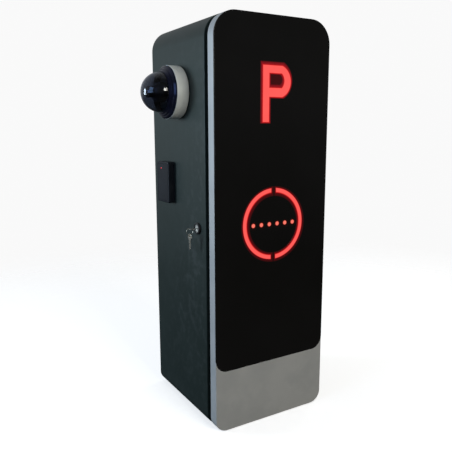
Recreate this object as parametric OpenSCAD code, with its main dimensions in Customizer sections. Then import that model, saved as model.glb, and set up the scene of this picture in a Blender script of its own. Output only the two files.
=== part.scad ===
// Floor-standing parking station: a wrap-around steel cabinet with a hinged front
// door that carries an illuminated sign, and a card reader, a dome camera and a
// cam lock on its left side. The origin is the centre of the floor anchor pattern,
// on the floor. The door faces -Y and the camera side is -X.

/* [Cabinet] */
// Width over the side walls
body_w = 345; // [330:5:420]
// Height from the floor
body_h = 1050; // [880:10:1260]
// Depth of the wrap-around body
body_d = 306; // [290:2:380]
// Outer radius of the two top corners
top_r = 59; // [45:1:70]
// Outer radius of the two bottom corners
bottom_r = 33; // [27:1:45]
// Thickness of the body sheet
wall = 2.5; // [1.5:0.5:3]
// Width of the folded returns around the front and rear openings
flange = 16; // [15:0.5:18]

/* [Door] */
// Depth of the whole door
door_d = 30; // [26:1:40]
// Thickness of the door sheet
door_wall = 2; // [1.5:0.5:3]
// Width of the return around the back of the door
door_lip = 30; // [26:1:36]
// Thickness of the glossy face panel
panel_t = 3; // [2:0.5:5]
// How far the face panel stands proud of the lower plate
panel_proud = 0.4; // [0:0.1:1]
// Height of the face panel's lower edge
panel_z = 165; // [120:1:240]
// Radius of the face panel's lower corners
panel_r = 34; // [10:1:50]
// Width of the shadow gap between the door and the body
recess_d = 16; // [14:1:24]
// Inset of the black collar that lines the shadow gap
collar_inset = 13; // [13:0.5:14]
// Wall of the collar
collar_wall = 3; // [2:0.5:3]
// Thickness of the door seal
seal_t = 3.7; // [2:0.1:5]
// Width of the door seal
seal_w = 5; // [4:0.5:6]

/* [Hinges] */
// Distance of each hinge's centre from the cabinet's foot or top
hinge_end = 230; // [200:5:260]
// Distance of the hinge axis from the outer side face
hinge_in = 8; // [8:0.5:8.5]
// Distance of the hinge axis behind the door's back face
hinge_back = 4; // [4:0.1:4.4]
// Height of one hinge over its knuckles
hinge_h = 60; // [40:2:100]
// Radius of the hinge knuckles
knuckle_r = 3.5; // [3:0.1:3.5]
// Radius of the hinge pins
pin_r = 2; // [1.5:0.1:2.3]
// Thickness of the hinge wings
wing_t = 2; // [1.5:0.1:2.1]

/* [Sign] */
// Left edge of the letter, from the middle of the cabinet
sign_x = -37; // [-80:1:-20]
// Distance of the letter's top below the cabinet's top
sign_down = 117; // [80:1:160]
// Width of the letter
sign_w = 87; // [70:1:105]
// Height of the letter
sign_h = 139; // [110:1:165]
// Width of the letter's stem
stem_w = 21.5; // [15:0.5:26]
// Height of the letter's bowl
bowl_h = 78; // [70:1:90]
// How far the letter's bowl swells out
bowl_bulge = 26; // [18:1:32]
// Distance of the ring's middle below the letter's foot
ring_down = 256; // [130:1:300]
// Outer radius of the ring
ring_r = 94; // [75:1:110]
// Width of the ring's band
band_w = 15.8; // [10:0.2:20]
// Width of the gaps at the top and the bottom of the ring
gap_w = 11.3; // [6:0.1:16]
// Number of dots across the ring
dot_n = 6; // [2:1:6]
// Radius of a dot
dot_r = 6.7; // [4:0.1:8]
// Distance between the centres of the dots
dot_pitch = 24.6; // [20:0.1:26]
// Depth of the light boxes behind the face
box_d = 21; // [18:1:26]
// Wall of the light boxes
box_t = 2; // [1.5:0.5:3]

/* [Camera] */
// Distance of the camera's axis behind the body's front edge
cam_back = 144; // [120:1:150]
// Distance of the camera's axis below the cabinet's top
cam_down = 178; // [150:1:220]
// Radius of the camera's base
cam_r = 67.5; // [65:0.5:75]
// How far the base's ring stands out from the wall
cam_ring = 34; // [30:1:40]
// Radius of the clear dome
dome_r = 50.7; // [47:0.1:52]
// Distance of the dome's centre beyond the base's ring
dome_step = 16; // [13:1:20]
// Thickness of the dome
dome_t = 2; // [1.5:0.1:3]
// Radius of the ball that holds the lens
ball_r = 26; // [20:1:28]

/* [Card reader] */
// Width of the reader
reader_w = 76; // [60:1:90]
// Height of the reader
reader_h = 112; // [80:1:130]
// Depth of the reader
reader_d = 18; // [14:1:24]
// Distance of the reader's middle behind the body's front edge
reader_in = 214; // [190:1:230]
// Distance of the reader's middle below the cabinet's top
reader_down = 415; // [350:1:440]
// Corner radius of the reader
reader_r = 5; // [2:1:10]
// Wall of the reader's cover
reader_wall = 2.2; // [1.5:0.1:3]

/* [Lock] */
// Distance of the lock's axis behind the body's front edge
lock_in = 42; // [38:1:50]
// Distance of the lock's axis below the cabinet's top
lock_down = 521; // [490:1:570]
// Radius of the lock's silver face
lock_face_r = 10.3; // [10.2:0.1:12]
// Radius of the lock's threaded barrel
barrel_r = 9.5; // [9:0.1:9.8]
// Radius of the turning plug
plug_r = 7; // [6:0.1:7.5]
// Radius of the black collar around the lock
lock_collar_r = 15.5; // [14:0.5:18]
// How far the black collar stands out
lock_collar_t = 6; // [4:0.5:8]
// Length of the cam from its axis to its tip
cam_len = 38; // [34:1:40]
// Width of the cam
cam_w = 14; // [10:1:14]
// Distance of the key ring's bar from the wall
bow_out = 24; // [22:1:30]
// Inner radius of the split ring
split_r = 8.2; // [7.8:0.1:10]
// Radius of the split ring's wire
wire_r = 0.8; // [0.6:0.1:1]

/* [Base] */
// Distance between the anchor holes across the width
anchor_x = 220; // [180:5:240]
// Distance between the anchor holes along the depth
anchor_y = 200; // [160:5:220]
// Radius of the anchor holes
anchor_r = 6.5; // [4.5:0.5:8]
// Radius of the cable entry in the base
entry_r = 30; // [20:1:40]
// Thickness of the base plate
base_t = 5; // [4:0.5:8]

/* [Hidden] */
$fn = 96;
eps = 0.5;
// Running clearance of a shaft, on the radius
run = 0.05;
// Clearance between parts that are only placed against each other
slip = 0.15;
// Clearance between moving neighbours
free = 0.3;
small_r = 1;
total_d = body_d + recess_d + door_d;
y_front = -total_d / 2;
y_back = total_d / 2;
y_door = y_front + door_d;
y_body = y_door + recess_d;
y_sheet = y_front + panel_t;
side = body_w / 2;
sign_z = body_h - sign_down - sign_h;
ring_z = sign_z - ring_down;
cam_z = body_h - cam_down;
reader_z = body_h - reader_down;
lock_z = body_h - lock_down;
hinge_z = [hinge_end, body_h - hinge_end];
cam_y = y_body + cam_back;
reader_y = y_body + reader_in;
lock_y = y_body + lock_in;
dome_out = cam_ring + dome_step;
rear_t = 2;
screw_r = 2;
head_r = 4;
head_t = 2.4;
// Rear panel
rear_screw_z = [110, body_h / 2, body_h - 110];
rear_screw_x = side - wall - 7.5;
// Collar and seal
collar_d = recess_d - seal_t - free;
seal_inset = collar_inset + collar_wall / 2 - seal_w / 2 + 0.5;
// Hinges
hinge_x = side - hinge_in;
hinge_y = y_door + hinge_back;
knuckle_h = (hinge_h - 2 * free) / 3;
hinge_play = 0.02;
pin_head_r = 3;
pin_head_t = 1.5;
// Sign
lens_rim = 4;
rim_t = 1.6;
lens_gap = 0.1;
window_gap = 0.8;
counter_w = sign_w - stem_w - 22.5;
counter_h = 32.5;
counter_z = sign_z + sign_h - 21 - counter_h;
counter_bulge = 8;
box_rim = lens_rim + window_gap + box_t;
led_w = 5;
led_t = 1.6;
board_t = 1.6;
ear_w = 12;
ear_t = 2;
ear_screw_r = 1.5;
shield_peg_r = 2;
// Chassis on the right wall
post_len = 12;
plate_t = 2;
chassis_x = side - wall - post_len;
chassis_y = [-80, 130];
chassis_z = [200, body_h - 190];
post_y = [-65, 115];
post_z = [chassis_z[0] + 20, chassis_z[1] - 20];
post_r = 5;
rail_z = 330;
rail_h = 35;
rail_d = 7.5;
rail_t = 1;
rail_y = [-70, 120];
rail_x = chassis_x - plate_t - rail_d;
psu_y = [-60, 10];
psu_h = 110;
psu_d = 62;
breaker_y = [22, 40];
breaker_h = 84;
breaker_d = 58;
toggle_out = 8;
toggle_r = 10;
toggle_w = 8;
toggle_tilt = 20;
axle_r = 2;
block_y = [50, 110];
block_h = 46;
block_d = 38;
claw = 3;
pcb_y = [-60, 100];
pcb_h = 260;
pcb_foot = chassis_z[0] + (chassis_z[1] - chassis_z[0]) * 14 / 33;
pcb_z = [pcb_foot, pcb_foot + pcb_h];
pcb_gap = 10;
pcb_x = chassis_x - plate_t - pcb_gap;
stand_r = 3.2;
stand_y = [pcb_y[0] + 8, pcb_y[1] - 8];
stand_z = [pcb_z[0] + 5, pcb_z[1] - 5];
// Camera
gasket_t = 1.5;
cam_wall = 3;
cam_floor = 3;
skirt = 6;
dome_rim = 4.5;
dome_rim_t = 2;
spigot_r = 8;
pan_z = gasket_t + cam_floor + 8.5;
pan_t = 4;
pan_r = 38;
ear_y = ball_r + 3;
trunnion_r = 3;
barrel_len = 36;
lens_r = 12;
cam_screw_r = 48;
cam_board_z = gasket_t + cam_floor + 3;
// Reader
back_t = 4;
reader_led_y = reader_y + 9.5;
reader_led_z = reader_z + 38;
reader_led_r = 2.2;
// Lock
hole_gap = 0.15;
barrel_len_in = 24;
face_out = 3.5;
nut_t = 4;
cam_t = 2.5;
cam_in = barrel_len_in + 1.5;
tail_r = 3;
keyway_t = 2.4;
keyway_w = 8;
blade_t = 2;
blade_w = 7;
blade_in = 16;
bow_r = 9;
bow_hole_r = 3.7;
bar_w = 2.4;
ring_drop = 6.3;
key_len = bow_out + bar_w / 2 - 2 * bow_r + blade_in;
spare_len = key_len;
cam_screw_len = 8;
keeper_t = 2.5;
keeper_h = 20;
keeper_x = -side + cam_in + cam_t + 2;
keeper_tab = 6.5;
keeper_gap = 0.6;
keeper_z = lock_z + 16;
keeper_foot = 13;
// Base
plate_w = body_w - 2 * bottom_r - 3;
plate_d = 2 * (-y_body - wall - 2.5);
grommet_t = 4;
grommet_lip = 6;
entry_y = 30;

// ---------- shared shapes ----------

// The cabinet's outline in width and height, drawn smaller by inset on every side
module outline(inset) {
    w = body_w - 2 * inset;
    rt = max(top_r - inset, small_r);
    rb = max(bottom_r - inset, small_r);
    translate([-w / 2, inset + rb]) square([w, body_h - 2 * inset - rb - rt]);
    translate([-w / 2 + rb, inset]) square([w - 2 * rb, rb + small_r]);
    translate([-w / 2 + rt, body_h - inset - rt - small_r]) square([w - 2 * rt, rt + small_r]);
    for (s = [-1, 1]) {
        translate([s * (w / 2 - rb), inset + rb]) circle(rb);
        translate([s * (w / 2 - rt), body_h - inset - rt]) circle(rt);
    }
}

// A flat shape in width and height, made thick from y to y + depth
module upright(y, depth) {
    translate([0, y + depth, 0]) rotate([90, 0, 0]) linear_extrude(depth) children();
}

module slab(y, depth, inset) {
    upright(y, depth) outline(inset);
}

module box(x, y, z) {
    translate([x[0], y[0], z[0]]) cube([x[1] - x[0], y[1] - y[0], z[1] - z[0]]);
}

// A rectangle whose right-hand end swells out in one arc, bulge deep
module bow_right(w, h, bulge) {
    r = (h * h / 4 + bulge * bulge) / (2 * bulge);
    square([w - bulge - small_r, h]);
    intersection() {
        translate([w - bulge - 2 * small_r, 0]) square([bulge + 2 * small_r, h]);
        translate([w - r, h / 2]) circle(r);
    }
}

module round_rect(w, h, r) {
    translate([-w / 2 + r, -h / 2]) square([w - 2 * r, h]);
    translate([-w / 2, -h / 2 + r]) square([w, h - 2 * r]);
    for (x = [-1, 1], z = [-1, 1])
        translate([x * (w / 2 - r), z * (h / 2 - r)]) circle(r);
}

// Places what points along +Z so that it points out of the left wall, with +X up
module on_side(y, z) {
    translate([-side, y, z]) rotate([0, -90, 0]) children();
}

// A cylinder between two distances along +Z
module disc(z0, z1, r) {
    translate([0, 0, z0]) cylinder(h = z1 - z0, r = r);
}

// ---------- cabinet ----------

module anchor_holes(z0, z1) {
    for (x = [-1, 1], y = [-1, 1])
        translate([x * anchor_x / 2, y * anchor_y / 2, 0]) disc(z0, z1, anchor_r);
}

module cabinet_shell() color([0.2, 0.24, 0.25]) difference() {
    slab(y_body, body_d, 0);
    slab(y_body + wall, body_d - 2 * wall - rear_t, wall);
    slab(y_body - eps, wall + 2 * eps, flange);
    slab(y_back - rear_t - wall - eps, wall + 2 * eps, flange);
    slab(y_back - rear_t, rear_t + eps, wall);
    anchor_holes(-eps, wall + eps);
    translate([0, entry_y, 0]) disc(-eps, wall + eps, entry_r + grommet_t);
    on_side(lock_y, lock_z) disc(-wall - eps, eps, barrel_r + hole_gap);
    on_side(reader_y, reader_z) disc(-wall - eps, eps, 8);
    on_side(cam_y, cam_z) disc(-wall - eps, eps, 12);
    for (x = [-1, 1], z = rear_screw_z)
        translate([x * rear_screw_x, 0, z]) rotate([-90, 0, 0])
            disc(y_back - rear_t - wall - eps, y_back, screw_r + slip);
}

module rear_panel() color([0.21, 0.25, 0.26]) difference() {
    slab(y_back - rear_t, rear_t, wall + slip);
    for (x = [-1, 1], z = rear_screw_z)
        translate([x * rear_screw_x, 0, z]) rotate([-90, 0, 0])
            disc(y_back - rear_t - eps, y_back + eps, screw_r + slip);
}

module rear_screws() color([0.55, 0.56, 0.57])
    for (x = [-1, 1], z = rear_screw_z)
        translate([x * rear_screw_x, 0, z]) rotate([-90, 0, 0]) difference() {
            union() {
                disc(y_back - rear_t - wall - 4, y_back + small_r, screw_r);
                disc(y_back, y_back + head_t, head_r);
            }
            translate([0, 0, y_back + 1]) cylinder(h = head_t, r = 1.5, $fn = 6);
        }

module base_plate() color([0.6, 0.61, 0.62]) difference() {
    box([-plate_w / 2, plate_w / 2], [-plate_d / 2, plate_d / 2], [wall, wall + base_t]);
    anchor_holes(wall - eps, wall + base_t + eps);
    translate([0, entry_y, 0]) disc(wall - eps, wall + base_t + eps, entry_r + grommet_t);
}

module cable_grommet() color([0.06, 0.06, 0.06]) translate([0, entry_y, 0]) difference() {
    union() {
        disc(0, wall + base_t + small_r, entry_r + grommet_t - slip);
        disc(wall + base_t, wall + base_t + 3, entry_r + grommet_t + grommet_lip);
    }
    disc(-eps, wall + base_t + 3 + eps, entry_r);
}

module earth_stud() color([0.75, 0.65, 0.35])
    translate([plate_w / 2 - 25, -plate_d / 2 + 55, wall + base_t]) {
        cylinder(h = 20, r = 3);
        translate([0, 0, 1]) cylinder(h = 5, r = 5.8, $fn = 6);
        cylinder(h = 1, r = 7);
    }

module front_collar() color([0.03, 0.03, 0.03]) difference() {
    slab(y_body - collar_d, collar_d, collar_inset);
    slab(y_body - collar_d - eps, collar_d + 2 * eps, collar_inset + collar_wall);
}

module door_seal() color([0.05, 0.05, 0.05]) difference() {
    slab(y_door + free, seal_t, seal_inset);
    slab(y_door + free - eps, seal_t + 2 * eps, seal_inset + seal_w);
}

// ---------- hinges ----------

// The low end of knuckle k, where 0 and 2 are the cabinet's and 1 is the door's
function knuckle_z(z, k) = z - hinge_h / 2 + k * (knuckle_h + free);

module at_hinge(k) {
    for (z = hinge_z)
        translate([hinge_x, hinge_y, knuckle_z(z, k)]) children();
}

module hinge_body_wings() color([0.1, 0.1, 0.11]) {
    reach = hinge_x - (side - collar_inset);
    for (z = hinge_z)
        difference() {
            union() {
                box([hinge_x - reach, hinge_x - reach + wing_t], [hinge_y + 1, y_body - 1],
                    [z - hinge_h / 2, z + hinge_h / 2]);
                for (k = [0, 2])
                    translate([hinge_x, hinge_y, knuckle_z(z, k)]) {
                        cylinder(h = knuckle_h, r = knuckle_r);
                        translate([-reach, 1, 0]) cube([reach, 2, knuckle_h]);
                    }
            }
            translate([hinge_x, hinge_y, z - hinge_h]) cylinder(h = 2 * hinge_h, r = pin_r + hinge_play);
            translate([hinge_x, hinge_y, knuckle_z(z, 1) - free])
                cylinder(h = knuckle_h + 2 * free, r = knuckle_r + free);
        }
}

module hinge_door_wings() color([0.1, 0.1, 0.11])
    at_hinge(1) difference() {
        union() {
            cylinder(h = knuckle_h, r = knuckle_r);
            translate([0, -hinge_back, 0]) cube([hinge_in - 1.5, wing_t, knuckle_h]);
        }
        translate([0, 0, -eps]) cylinder(h = knuckle_h + 2 * eps, r = pin_r + run);
    }

module hinge_pins() color([0.7, 0.7, 0.72])
    for (z = hinge_z)
        translate([hinge_x, hinge_y, z]) {
            disc(-hinge_h / 2, hinge_h / 2 + small_r, pin_r);
            disc(hinge_h / 2, hinge_h / 2 + pin_head_t, pin_head_r);
        }

// ---------- electronics on the right wall ----------

// Places what points along +Z so that it points out of the right wall's inside
module on_right(x, y, z) {
    translate([x, y, z]) rotate([0, -90, 0]) children();
}

module chassis_plate() color([0.72, 0.72, 0.7]) difference() {
    box([chassis_x - plate_t, chassis_x], chassis_y, chassis_z);
    for (y = post_y, z = post_z)
        on_right(chassis_x, y, z) disc(-eps, plate_t + eps, screw_r + slip);
}

module chassis_posts() color([0.6, 0.6, 0.6])
    for (y = post_y, z = post_z)
        on_right(side - wall, y, z) difference() {
            cylinder(h = post_len, r = post_r);
            translate([0, 0, 2]) cylinder(h = post_len, r = screw_r + slip);
        }

module chassis_screws() color([0.55, 0.56, 0.57])
    for (y = post_y, z = post_z)
        on_right(chassis_x - plate_t, y, z) {
            disc(-plate_t - 6, small_r, screw_r);
            disc(0, head_t, head_r);
        }

module din_rail() color([0.75, 0.76, 0.77]) {
    hat = rail_h - 8;
    translate([0, rail_y[1], rail_z]) rotate([90, 0, 0]) linear_extrude(rail_y[1] - rail_y[0]) {
        translate([rail_x + rail_d - rail_t, -hat / 2]) square([rail_t, hat]);
        for (s = [-1, 1]) {
            translate([rail_x, s * (hat / 2 - rail_t / 2) - rail_t / 2]) square([rail_d, rail_t]);
            translate([rail_x, s * (hat / 2 + 1.5) - 2.5]) square([rail_t, 5]);
        }
    }
}

// A module clipped on the rail: its case and the two claws that grip the rail
module rail_case(y, h, depth) {
    box([rail_x - depth, rail_x], y, [rail_z - h / 2, rail_z + h / 2]);
    for (s = [-1, 1])
        translate([rail_x - eps, y[0], rail_z + s * (rail_h / 2 + slip + claw / 2) - claw / 2])
            cube([rail_t + eps + claw, y[1] - y[0], claw]);
}

module power_supply() color([0.78, 0.79, 0.8]) difference() {
    rail_case(psu_y, psu_h, psu_d);
    for (i = [0 : 7])
        box([rail_x - psu_d + 12, rail_x - 12], [psu_y[0] + 8 + i * 7, psu_y[0] + 11 + i * 7],
            [rail_z + psu_h / 2 - 3, rail_z + psu_h / 2 + eps]);
}

// Places what points along +Z so that it lies along the breaker's toggle axis
module at_toggle() {
    translate([rail_x - breaker_d + toggle_out, (breaker_y[0] + breaker_y[1]) / 2, rail_z])
        rotate([-90, 0, 0]) children();
}

module breaker_body() color([0.85, 0.85, 0.83]) difference() {
    rail_case(breaker_y, breaker_h, breaker_d);
    at_toggle() {
        disc(-toggle_w / 2 - 1, toggle_w / 2 + 1, toggle_r + 4);
        disc(-toggle_w / 2 - 3 - free, toggle_w / 2 + 3 + free, axle_r + run);
    }
}

module breaker_toggle() color([0.05, 0.15, 0.5]) {
    at_toggle() {
        disc(-toggle_w / 2, toggle_w / 2, toggle_r);
        disc(-toggle_w / 2 - 3, toggle_w / 2 + 3, axle_r);
        rotate([0, 0, 180 + toggle_tilt]) translate([toggle_r - 2, -2.5, -toggle_w / 2 + 0.5])
            cube([10, 5, toggle_w - 1]);
    }
}

module terminal_block() color([0.5, 0.52, 0.5]) {
    n = 8;
    pitch = (block_y[1] - block_y[0]) / n;
    difference() {
        rail_case(block_y, block_h, block_d);
        for (i = [0 : n - 1], s = [-1, 1])
            translate([rail_x - block_d, block_y[0] + (i + 0.5) * pitch, rail_z + s * 12])
                rotate([0, 90, 0]) disc(-eps, 6, 2.4);
    }
}

module controller_board() color([0.05, 0.3, 0.15]) difference() {
    union() {
        box([pcb_x - board_t, pcb_x], pcb_y, pcb_z);
        box([pcb_x - board_t - 16, pcb_x - board_t + eps / 2], [-30, 20], [pcb_z[0] + 80, pcb_z[0] + 140]);
        box([pcb_x - board_t - 12, pcb_x - board_t + eps / 2], [-50, 84], [pcb_z[0] + 10, pcb_z[0] + 22]);
        box([pcb_x - board_t - 12, pcb_x - board_t + eps / 2], [-50, 84], [pcb_z[1] - 22, pcb_z[1] - 10]);
        for (i = [0 : 3])
            box([pcb_x - board_t - 15, pcb_x - board_t + eps / 2], [34 + i * 14, 46 + i * 14],
                [pcb_z[0] + 160, pcb_z[0] + 188]);
        for (i = [0 : 2])
            on_right(pcb_x - board_t + eps / 2, 50 + i * 16, pcb_z[0] + 60) cylinder(h = 20, r = 6);
        box([pcb_x - board_t - 13, pcb_x - board_t + eps / 2], [-48, -30], [pcb_z[0] + 170, pcb_z[0] + 186]);
    }
    for (y = stand_y, z = stand_z)
        on_right(pcb_x, y, z) disc(-eps, board_t + eps, ear_screw_r + slip);
}

module at_standoffs() {
    for (y = stand_y, z = stand_z)
        on_right(chassis_x - plate_t, y, z) children();
}

module board_standoffs() color([0.75, 0.65, 0.35])
    at_standoffs() difference() {
        cylinder(h = pcb_gap, r = stand_r, $fn = 6);
        translate([0, 0, 2]) cylinder(h = pcb_gap, r = ear_screw_r + slip);
    }

module board_screws() color([0.7, 0.7, 0.72])
    at_standoffs() {
        disc(pcb_gap - 5, pcb_gap + board_t + 0.5, ear_screw_r);
        disc(pcb_gap + board_t, pcb_gap + board_t + 1.8, 2.8);
    }

// ---------- card reader ----------

module on_reader() {
    on_side(reader_y, reader_z) children();
}

module reader_back() color([0.08, 0.08, 0.09]) on_reader() difference() {
    inner = reader_wall + slip;
    linear_extrude(back_t) round_rect(reader_h - 2 * inner, reader_w - 2 * inner, reader_r - reader_wall);
    disc(-eps, back_t + eps, 8);
    for (s = [-1, 1])
        translate([s * 30, 0, 0]) disc(-eps, back_t + eps, screw_r + slip);
}

module reader_cover() color([0.12, 0.14, 0.17]) on_reader() difference() {
    linear_extrude(reader_d) round_rect(reader_h, reader_w, reader_r);
    translate([0, 0, -eps]) linear_extrude(reader_d - reader_wall + eps)
        round_rect(reader_h - 2 * reader_wall, reader_w - 2 * reader_wall, reader_r - reader_wall);
    translate([reader_led_z - reader_z, reader_led_y - reader_y, 0])
        disc(0, reader_d + eps, reader_led_r + lens_gap);
}

module reader_led() color([1, 0.1, 0.15]) on_reader()
    translate([reader_led_z - reader_z, reader_led_y - reader_y, 0]) {
        disc(reader_d - reader_wall - 5, reader_d, reader_led_r);
        disc(reader_d - reader_wall - 5, reader_d - reader_wall - 3.5, reader_led_r + 0.6);
    }

module reader_board() color([0.05, 0.25, 0.3]) on_reader() difference() {
    w = reader_w - 2 * reader_wall - 6;
    h = reader_h - 2 * reader_wall - 6;
    union() {
        translate([-h / 2, -w / 2, reader_d - reader_wall - 5 - board_t]) cube([h, w, board_t]);
        for (x = [-1, 1], y = [-1, 1])
            translate([x * (h / 2 - 5), y * (w / 2 - 5), 0])
                disc(back_t, reader_d - reader_wall - 5, 2.5);
    }
    for (s = [-1, 1])
        translate([s * 30, 0, 0]) disc(0, reader_d, head_r + 1);
}

module reader_screws() color([0.55, 0.56, 0.57]) on_reader()
    for (s = [-1, 1])
        translate([s * 30, 0, 0]) {
            disc(0, back_t + 0.5, screw_r);
            disc(back_t, back_t + head_t, head_r);
        }

// ---------- dome camera ----------

module on_camera() {
    on_side(cam_y, cam_z) children();
}

module at_cam_screws() {
    for (a = [30, 150, 270])
        rotate([0, 0, a]) translate([cam_screw_r, 0, 0]) children();
}

module camera_gasket() color([0.05, 0.05, 0.05]) on_camera() difference() {
    disc(0, gasket_t, cam_r - 1.5);
    disc(-eps, gasket_t + eps, 16);
    at_cam_screws() disc(-eps, gasket_t + eps, screw_r + slip);
}

module camera_base() color([0.72, 0.73, 0.72]) on_camera() difference() {
    union() {
        disc(gasket_t, cam_ring, cam_r);
    }
    disc(gasket_t + cam_floor, cam_ring + eps, cam_r - cam_wall);
    disc(-eps, gasket_t + cam_floor + eps, 5);
    at_cam_screws() disc(gasket_t - eps, gasket_t + cam_floor + eps, screw_r + slip);
}

module camera_screws() color([0.55, 0.56, 0.57]) on_camera() at_cam_screws() {
    disc(0, gasket_t + cam_floor + 0.5, screw_r);
    disc(gasket_t + cam_floor, gasket_t + cam_floor + head_t, head_r);
}

// The board carries the hollow post on which the fork pans
module camera_board() color([0.05, 0.3, 0.15]) on_camera() difference() {
    top = pan_z + pan_t + free;
    union() {
        disc(cam_board_z, cam_board_z + board_t, 40);
        disc(gasket_t + cam_floor, top, spigot_r);
        disc(top - 0.1, top + 1.5, spigot_r + 2.5);
        for (a = [90, 210, 330])
            rotate([0, 0, a]) translate([34, 0, 0]) disc(gasket_t + cam_floor, cam_board_z + 0.5, 3);
    }
    disc(0, top + 2, 5);
}

// A point of the collar's outside, where r and z go from 0 at the base's ring to 1 at the dome
function step(r, z) = [cam_r - 1 + r * (dome_r + 3 - cam_r), cam_ring + z * dome_step];

module camera_collar() color([0.04, 0.04, 0.05]) on_camera() rotate_extrude() polygon([
    [cam_r - cam_wall - slip, cam_ring - 4], [cam_r - cam_wall - slip, cam_ring],
    step(0, 0), step(0, 0.2), step(0.33, 0.44), step(0.44, 0.44),
    step(0.66, 0.72), step(0.8, 0.72), step(1, 1),
    [dome_r + slip, dome_out], [dome_r + slip, dome_out - skirt + slip],
    [dome_r + dome_rim + slip, dome_out - skirt + slip], [dome_r + dome_rim + slip, cam_ring - 4]]);

module camera_dome() color([0.15, 0.15, 0.18, 0.55]) on_camera() difference() {
    union() {
        translate([0, 0, dome_out]) sphere(dome_r);
        disc(dome_out - skirt, dome_out, dome_r);
        disc(dome_out - skirt - dome_rim_t, dome_out - skirt, dome_r + dome_rim);
    }
    translate([0, 0, dome_out]) sphere(dome_r - dome_t);
    disc(dome_out - skirt - dome_rim_t - dome_r, dome_out - skirt - dome_rim_t, 2 * dome_r);
    disc(dome_out - skirt - dome_rim_t - eps, dome_out, dome_r - dome_t);
}

module camera_pan_fork() color([0.07, 0.07, 0.08]) on_camera() difference() {
    union() {
        disc(pan_z, pan_z + pan_t, pan_r);
        for (s = [-1, 1])
            translate([-7, s * (ear_y + 1.5) - 1.5, pan_z]) cube([14, 3, dome_out - pan_z]);
        translate([0, 0, dome_out]) rotate([90, 0, 0]) disc(-ear_y - 3, ear_y + 3, 7);
    }
    translate([0, 0, dome_out]) rotate([90, 0, 0]) disc(-ear_y, ear_y, 7 + eps);
    translate([0, 0, dome_out]) rotate([90, 0, 0]) disc(-ear_y - 4, ear_y + 4, trunnion_r + run);
    disc(pan_z - eps, pan_z + pan_t + eps, spigot_r + run);
}

module camera_ball() color([0.05, 0.05, 0.05]) on_camera() translate([0, 0, dome_out]) difference() {
    union() {
        sphere(ball_r);
        rotate([90, 0, 0]) disc(-ear_y - 3, ear_y + 3, trunnion_r);
        disc(0, barrel_len, lens_r + 2);
    }
    disc(barrel_len - 6, barrel_len + eps, lens_r);
}

module camera_lens() color([0.1, 0.15, 0.3]) on_camera() translate([0, 0, dome_out])
    intersection() {
        disc(barrel_len - 6, barrel_len, lens_r - 0.1);
        translate([0, 0, barrel_len - 20]) sphere(19);
    }

// ---------- cam lock and keys ----------

module on_lock() {
    on_side(lock_y, lock_z) children();
}

module lock_collar() color([0.03, 0.03, 0.03]) on_lock() difference() {
    disc(0, lock_collar_t, lock_collar_r);
    disc(-eps, lock_collar_t + eps, lock_face_r + slip);
}

module lock_barrel() color([0.7, 0.71, 0.7]) on_lock() difference() {
    union() {
        disc(-barrel_len_in, 0.1, barrel_r);
        disc(0, face_out, lock_face_r);
    }
    disc(-barrel_len_in - eps, face_out + eps, plug_r + run);
}

module lock_nut() color([0.65, 0.66, 0.67]) on_lock() difference() {
    translate([0, 0, -wall - nut_t]) cylinder(h = nut_t, r = barrel_r + 5, $fn = 6);
    disc(-wall - nut_t - eps, -wall + eps, barrel_r + hinge_play);
}

module lock_plug() color([0.72, 0.73, 0.72]) on_lock() difference() {
    union() {
        disc(-barrel_len_in - free, face_out - 0.3, plug_r);
        disc(-cam_in, -barrel_len_in - free, plug_r + 1.2);
        translate([-tail_r, -tail_r, -cam_in - cam_t]) cube([2 * tail_r, 2 * tail_r, cam_t + 1]);
    }
    translate([-keyway_t / 2, -keyway_w / 2, -blade_in - 1])
        cube([keyway_t, keyway_w, blade_in + face_out + 2]);
    disc(-cam_in - cam_t - eps, -cam_in + cam_screw_len - cam_t, screw_r + slip);
}

// At rest the cam points at the door, clear of the keeper's hook, so the door is unlocked
module lock_cam() color([0.6, 0.61, 0.62]) on_lock() translate([0, 0, -cam_in - cam_t]) difference() {
    tip = cam_len - cam_w / 2;
    union() {
        cylinder(h = cam_t, r = cam_w / 2);
        translate([-cam_w / 2, -tip, 0]) cube([cam_w, tip, cam_t]);
        translate([0, -tip, 0]) cylinder(h = cam_t, r = cam_w / 2);
    }
    translate([-tail_r - slip, -tail_r - slip, -eps])
        cube([2 * (tail_r + slip), 2 * (tail_r + slip), cam_t + 2 * eps]);
}

module cam_screw() color([0.55, 0.56, 0.57]) on_lock() {
    disc(-cam_in - cam_t - 1.8, -cam_in - cam_t, tail_r + 1.5);
    disc(-cam_in - cam_t - 1, -cam_in + cam_screw_len - cam_t - 1, screw_r);
}

// Where the middle of the bow's hole lies along a key whose blade has this length
function hole_at(length) = length + 2 * bow_r - bar_w - bow_hole_r;

// A key along +Z, flat across X, with its bow at the far end
module key_blank(length) {
    difference() {
        union() {
            translate([-blade_t / 2, -blade_w / 2, 0]) cube([blade_t, blade_w, length + 2]);
            translate([0, 0, length + bow_r]) rotate([0, 90, 0]) disc(-blade_t / 2, blade_t / 2, bow_r);
        }
        for (i = [0 : 3])
            translate([-blade_t, blade_w / 2 - 1 - 0.4 * (i % 2), 3 + i * 3]) cube([2 * blade_t, 3, 1.6]);
        translate([0, 0, hole_at(length)]) rotate([0, 90, 0])
            disc(-blade_t, blade_t, bow_hole_r);
    }
}

module key() color([0.75, 0.75, 0.72]) on_lock() translate([0, 0, -blade_in]) key_blank(key_len);

module split_ring() color([0.8, 0.8, 0.8])
    translate([-side - bow_out, lock_y, lock_z - ring_drop]) rotate([90, 0, 0])
        rotate_extrude() translate([split_r + wire_r, 0]) circle(wire_r, $fn = 24);

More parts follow.
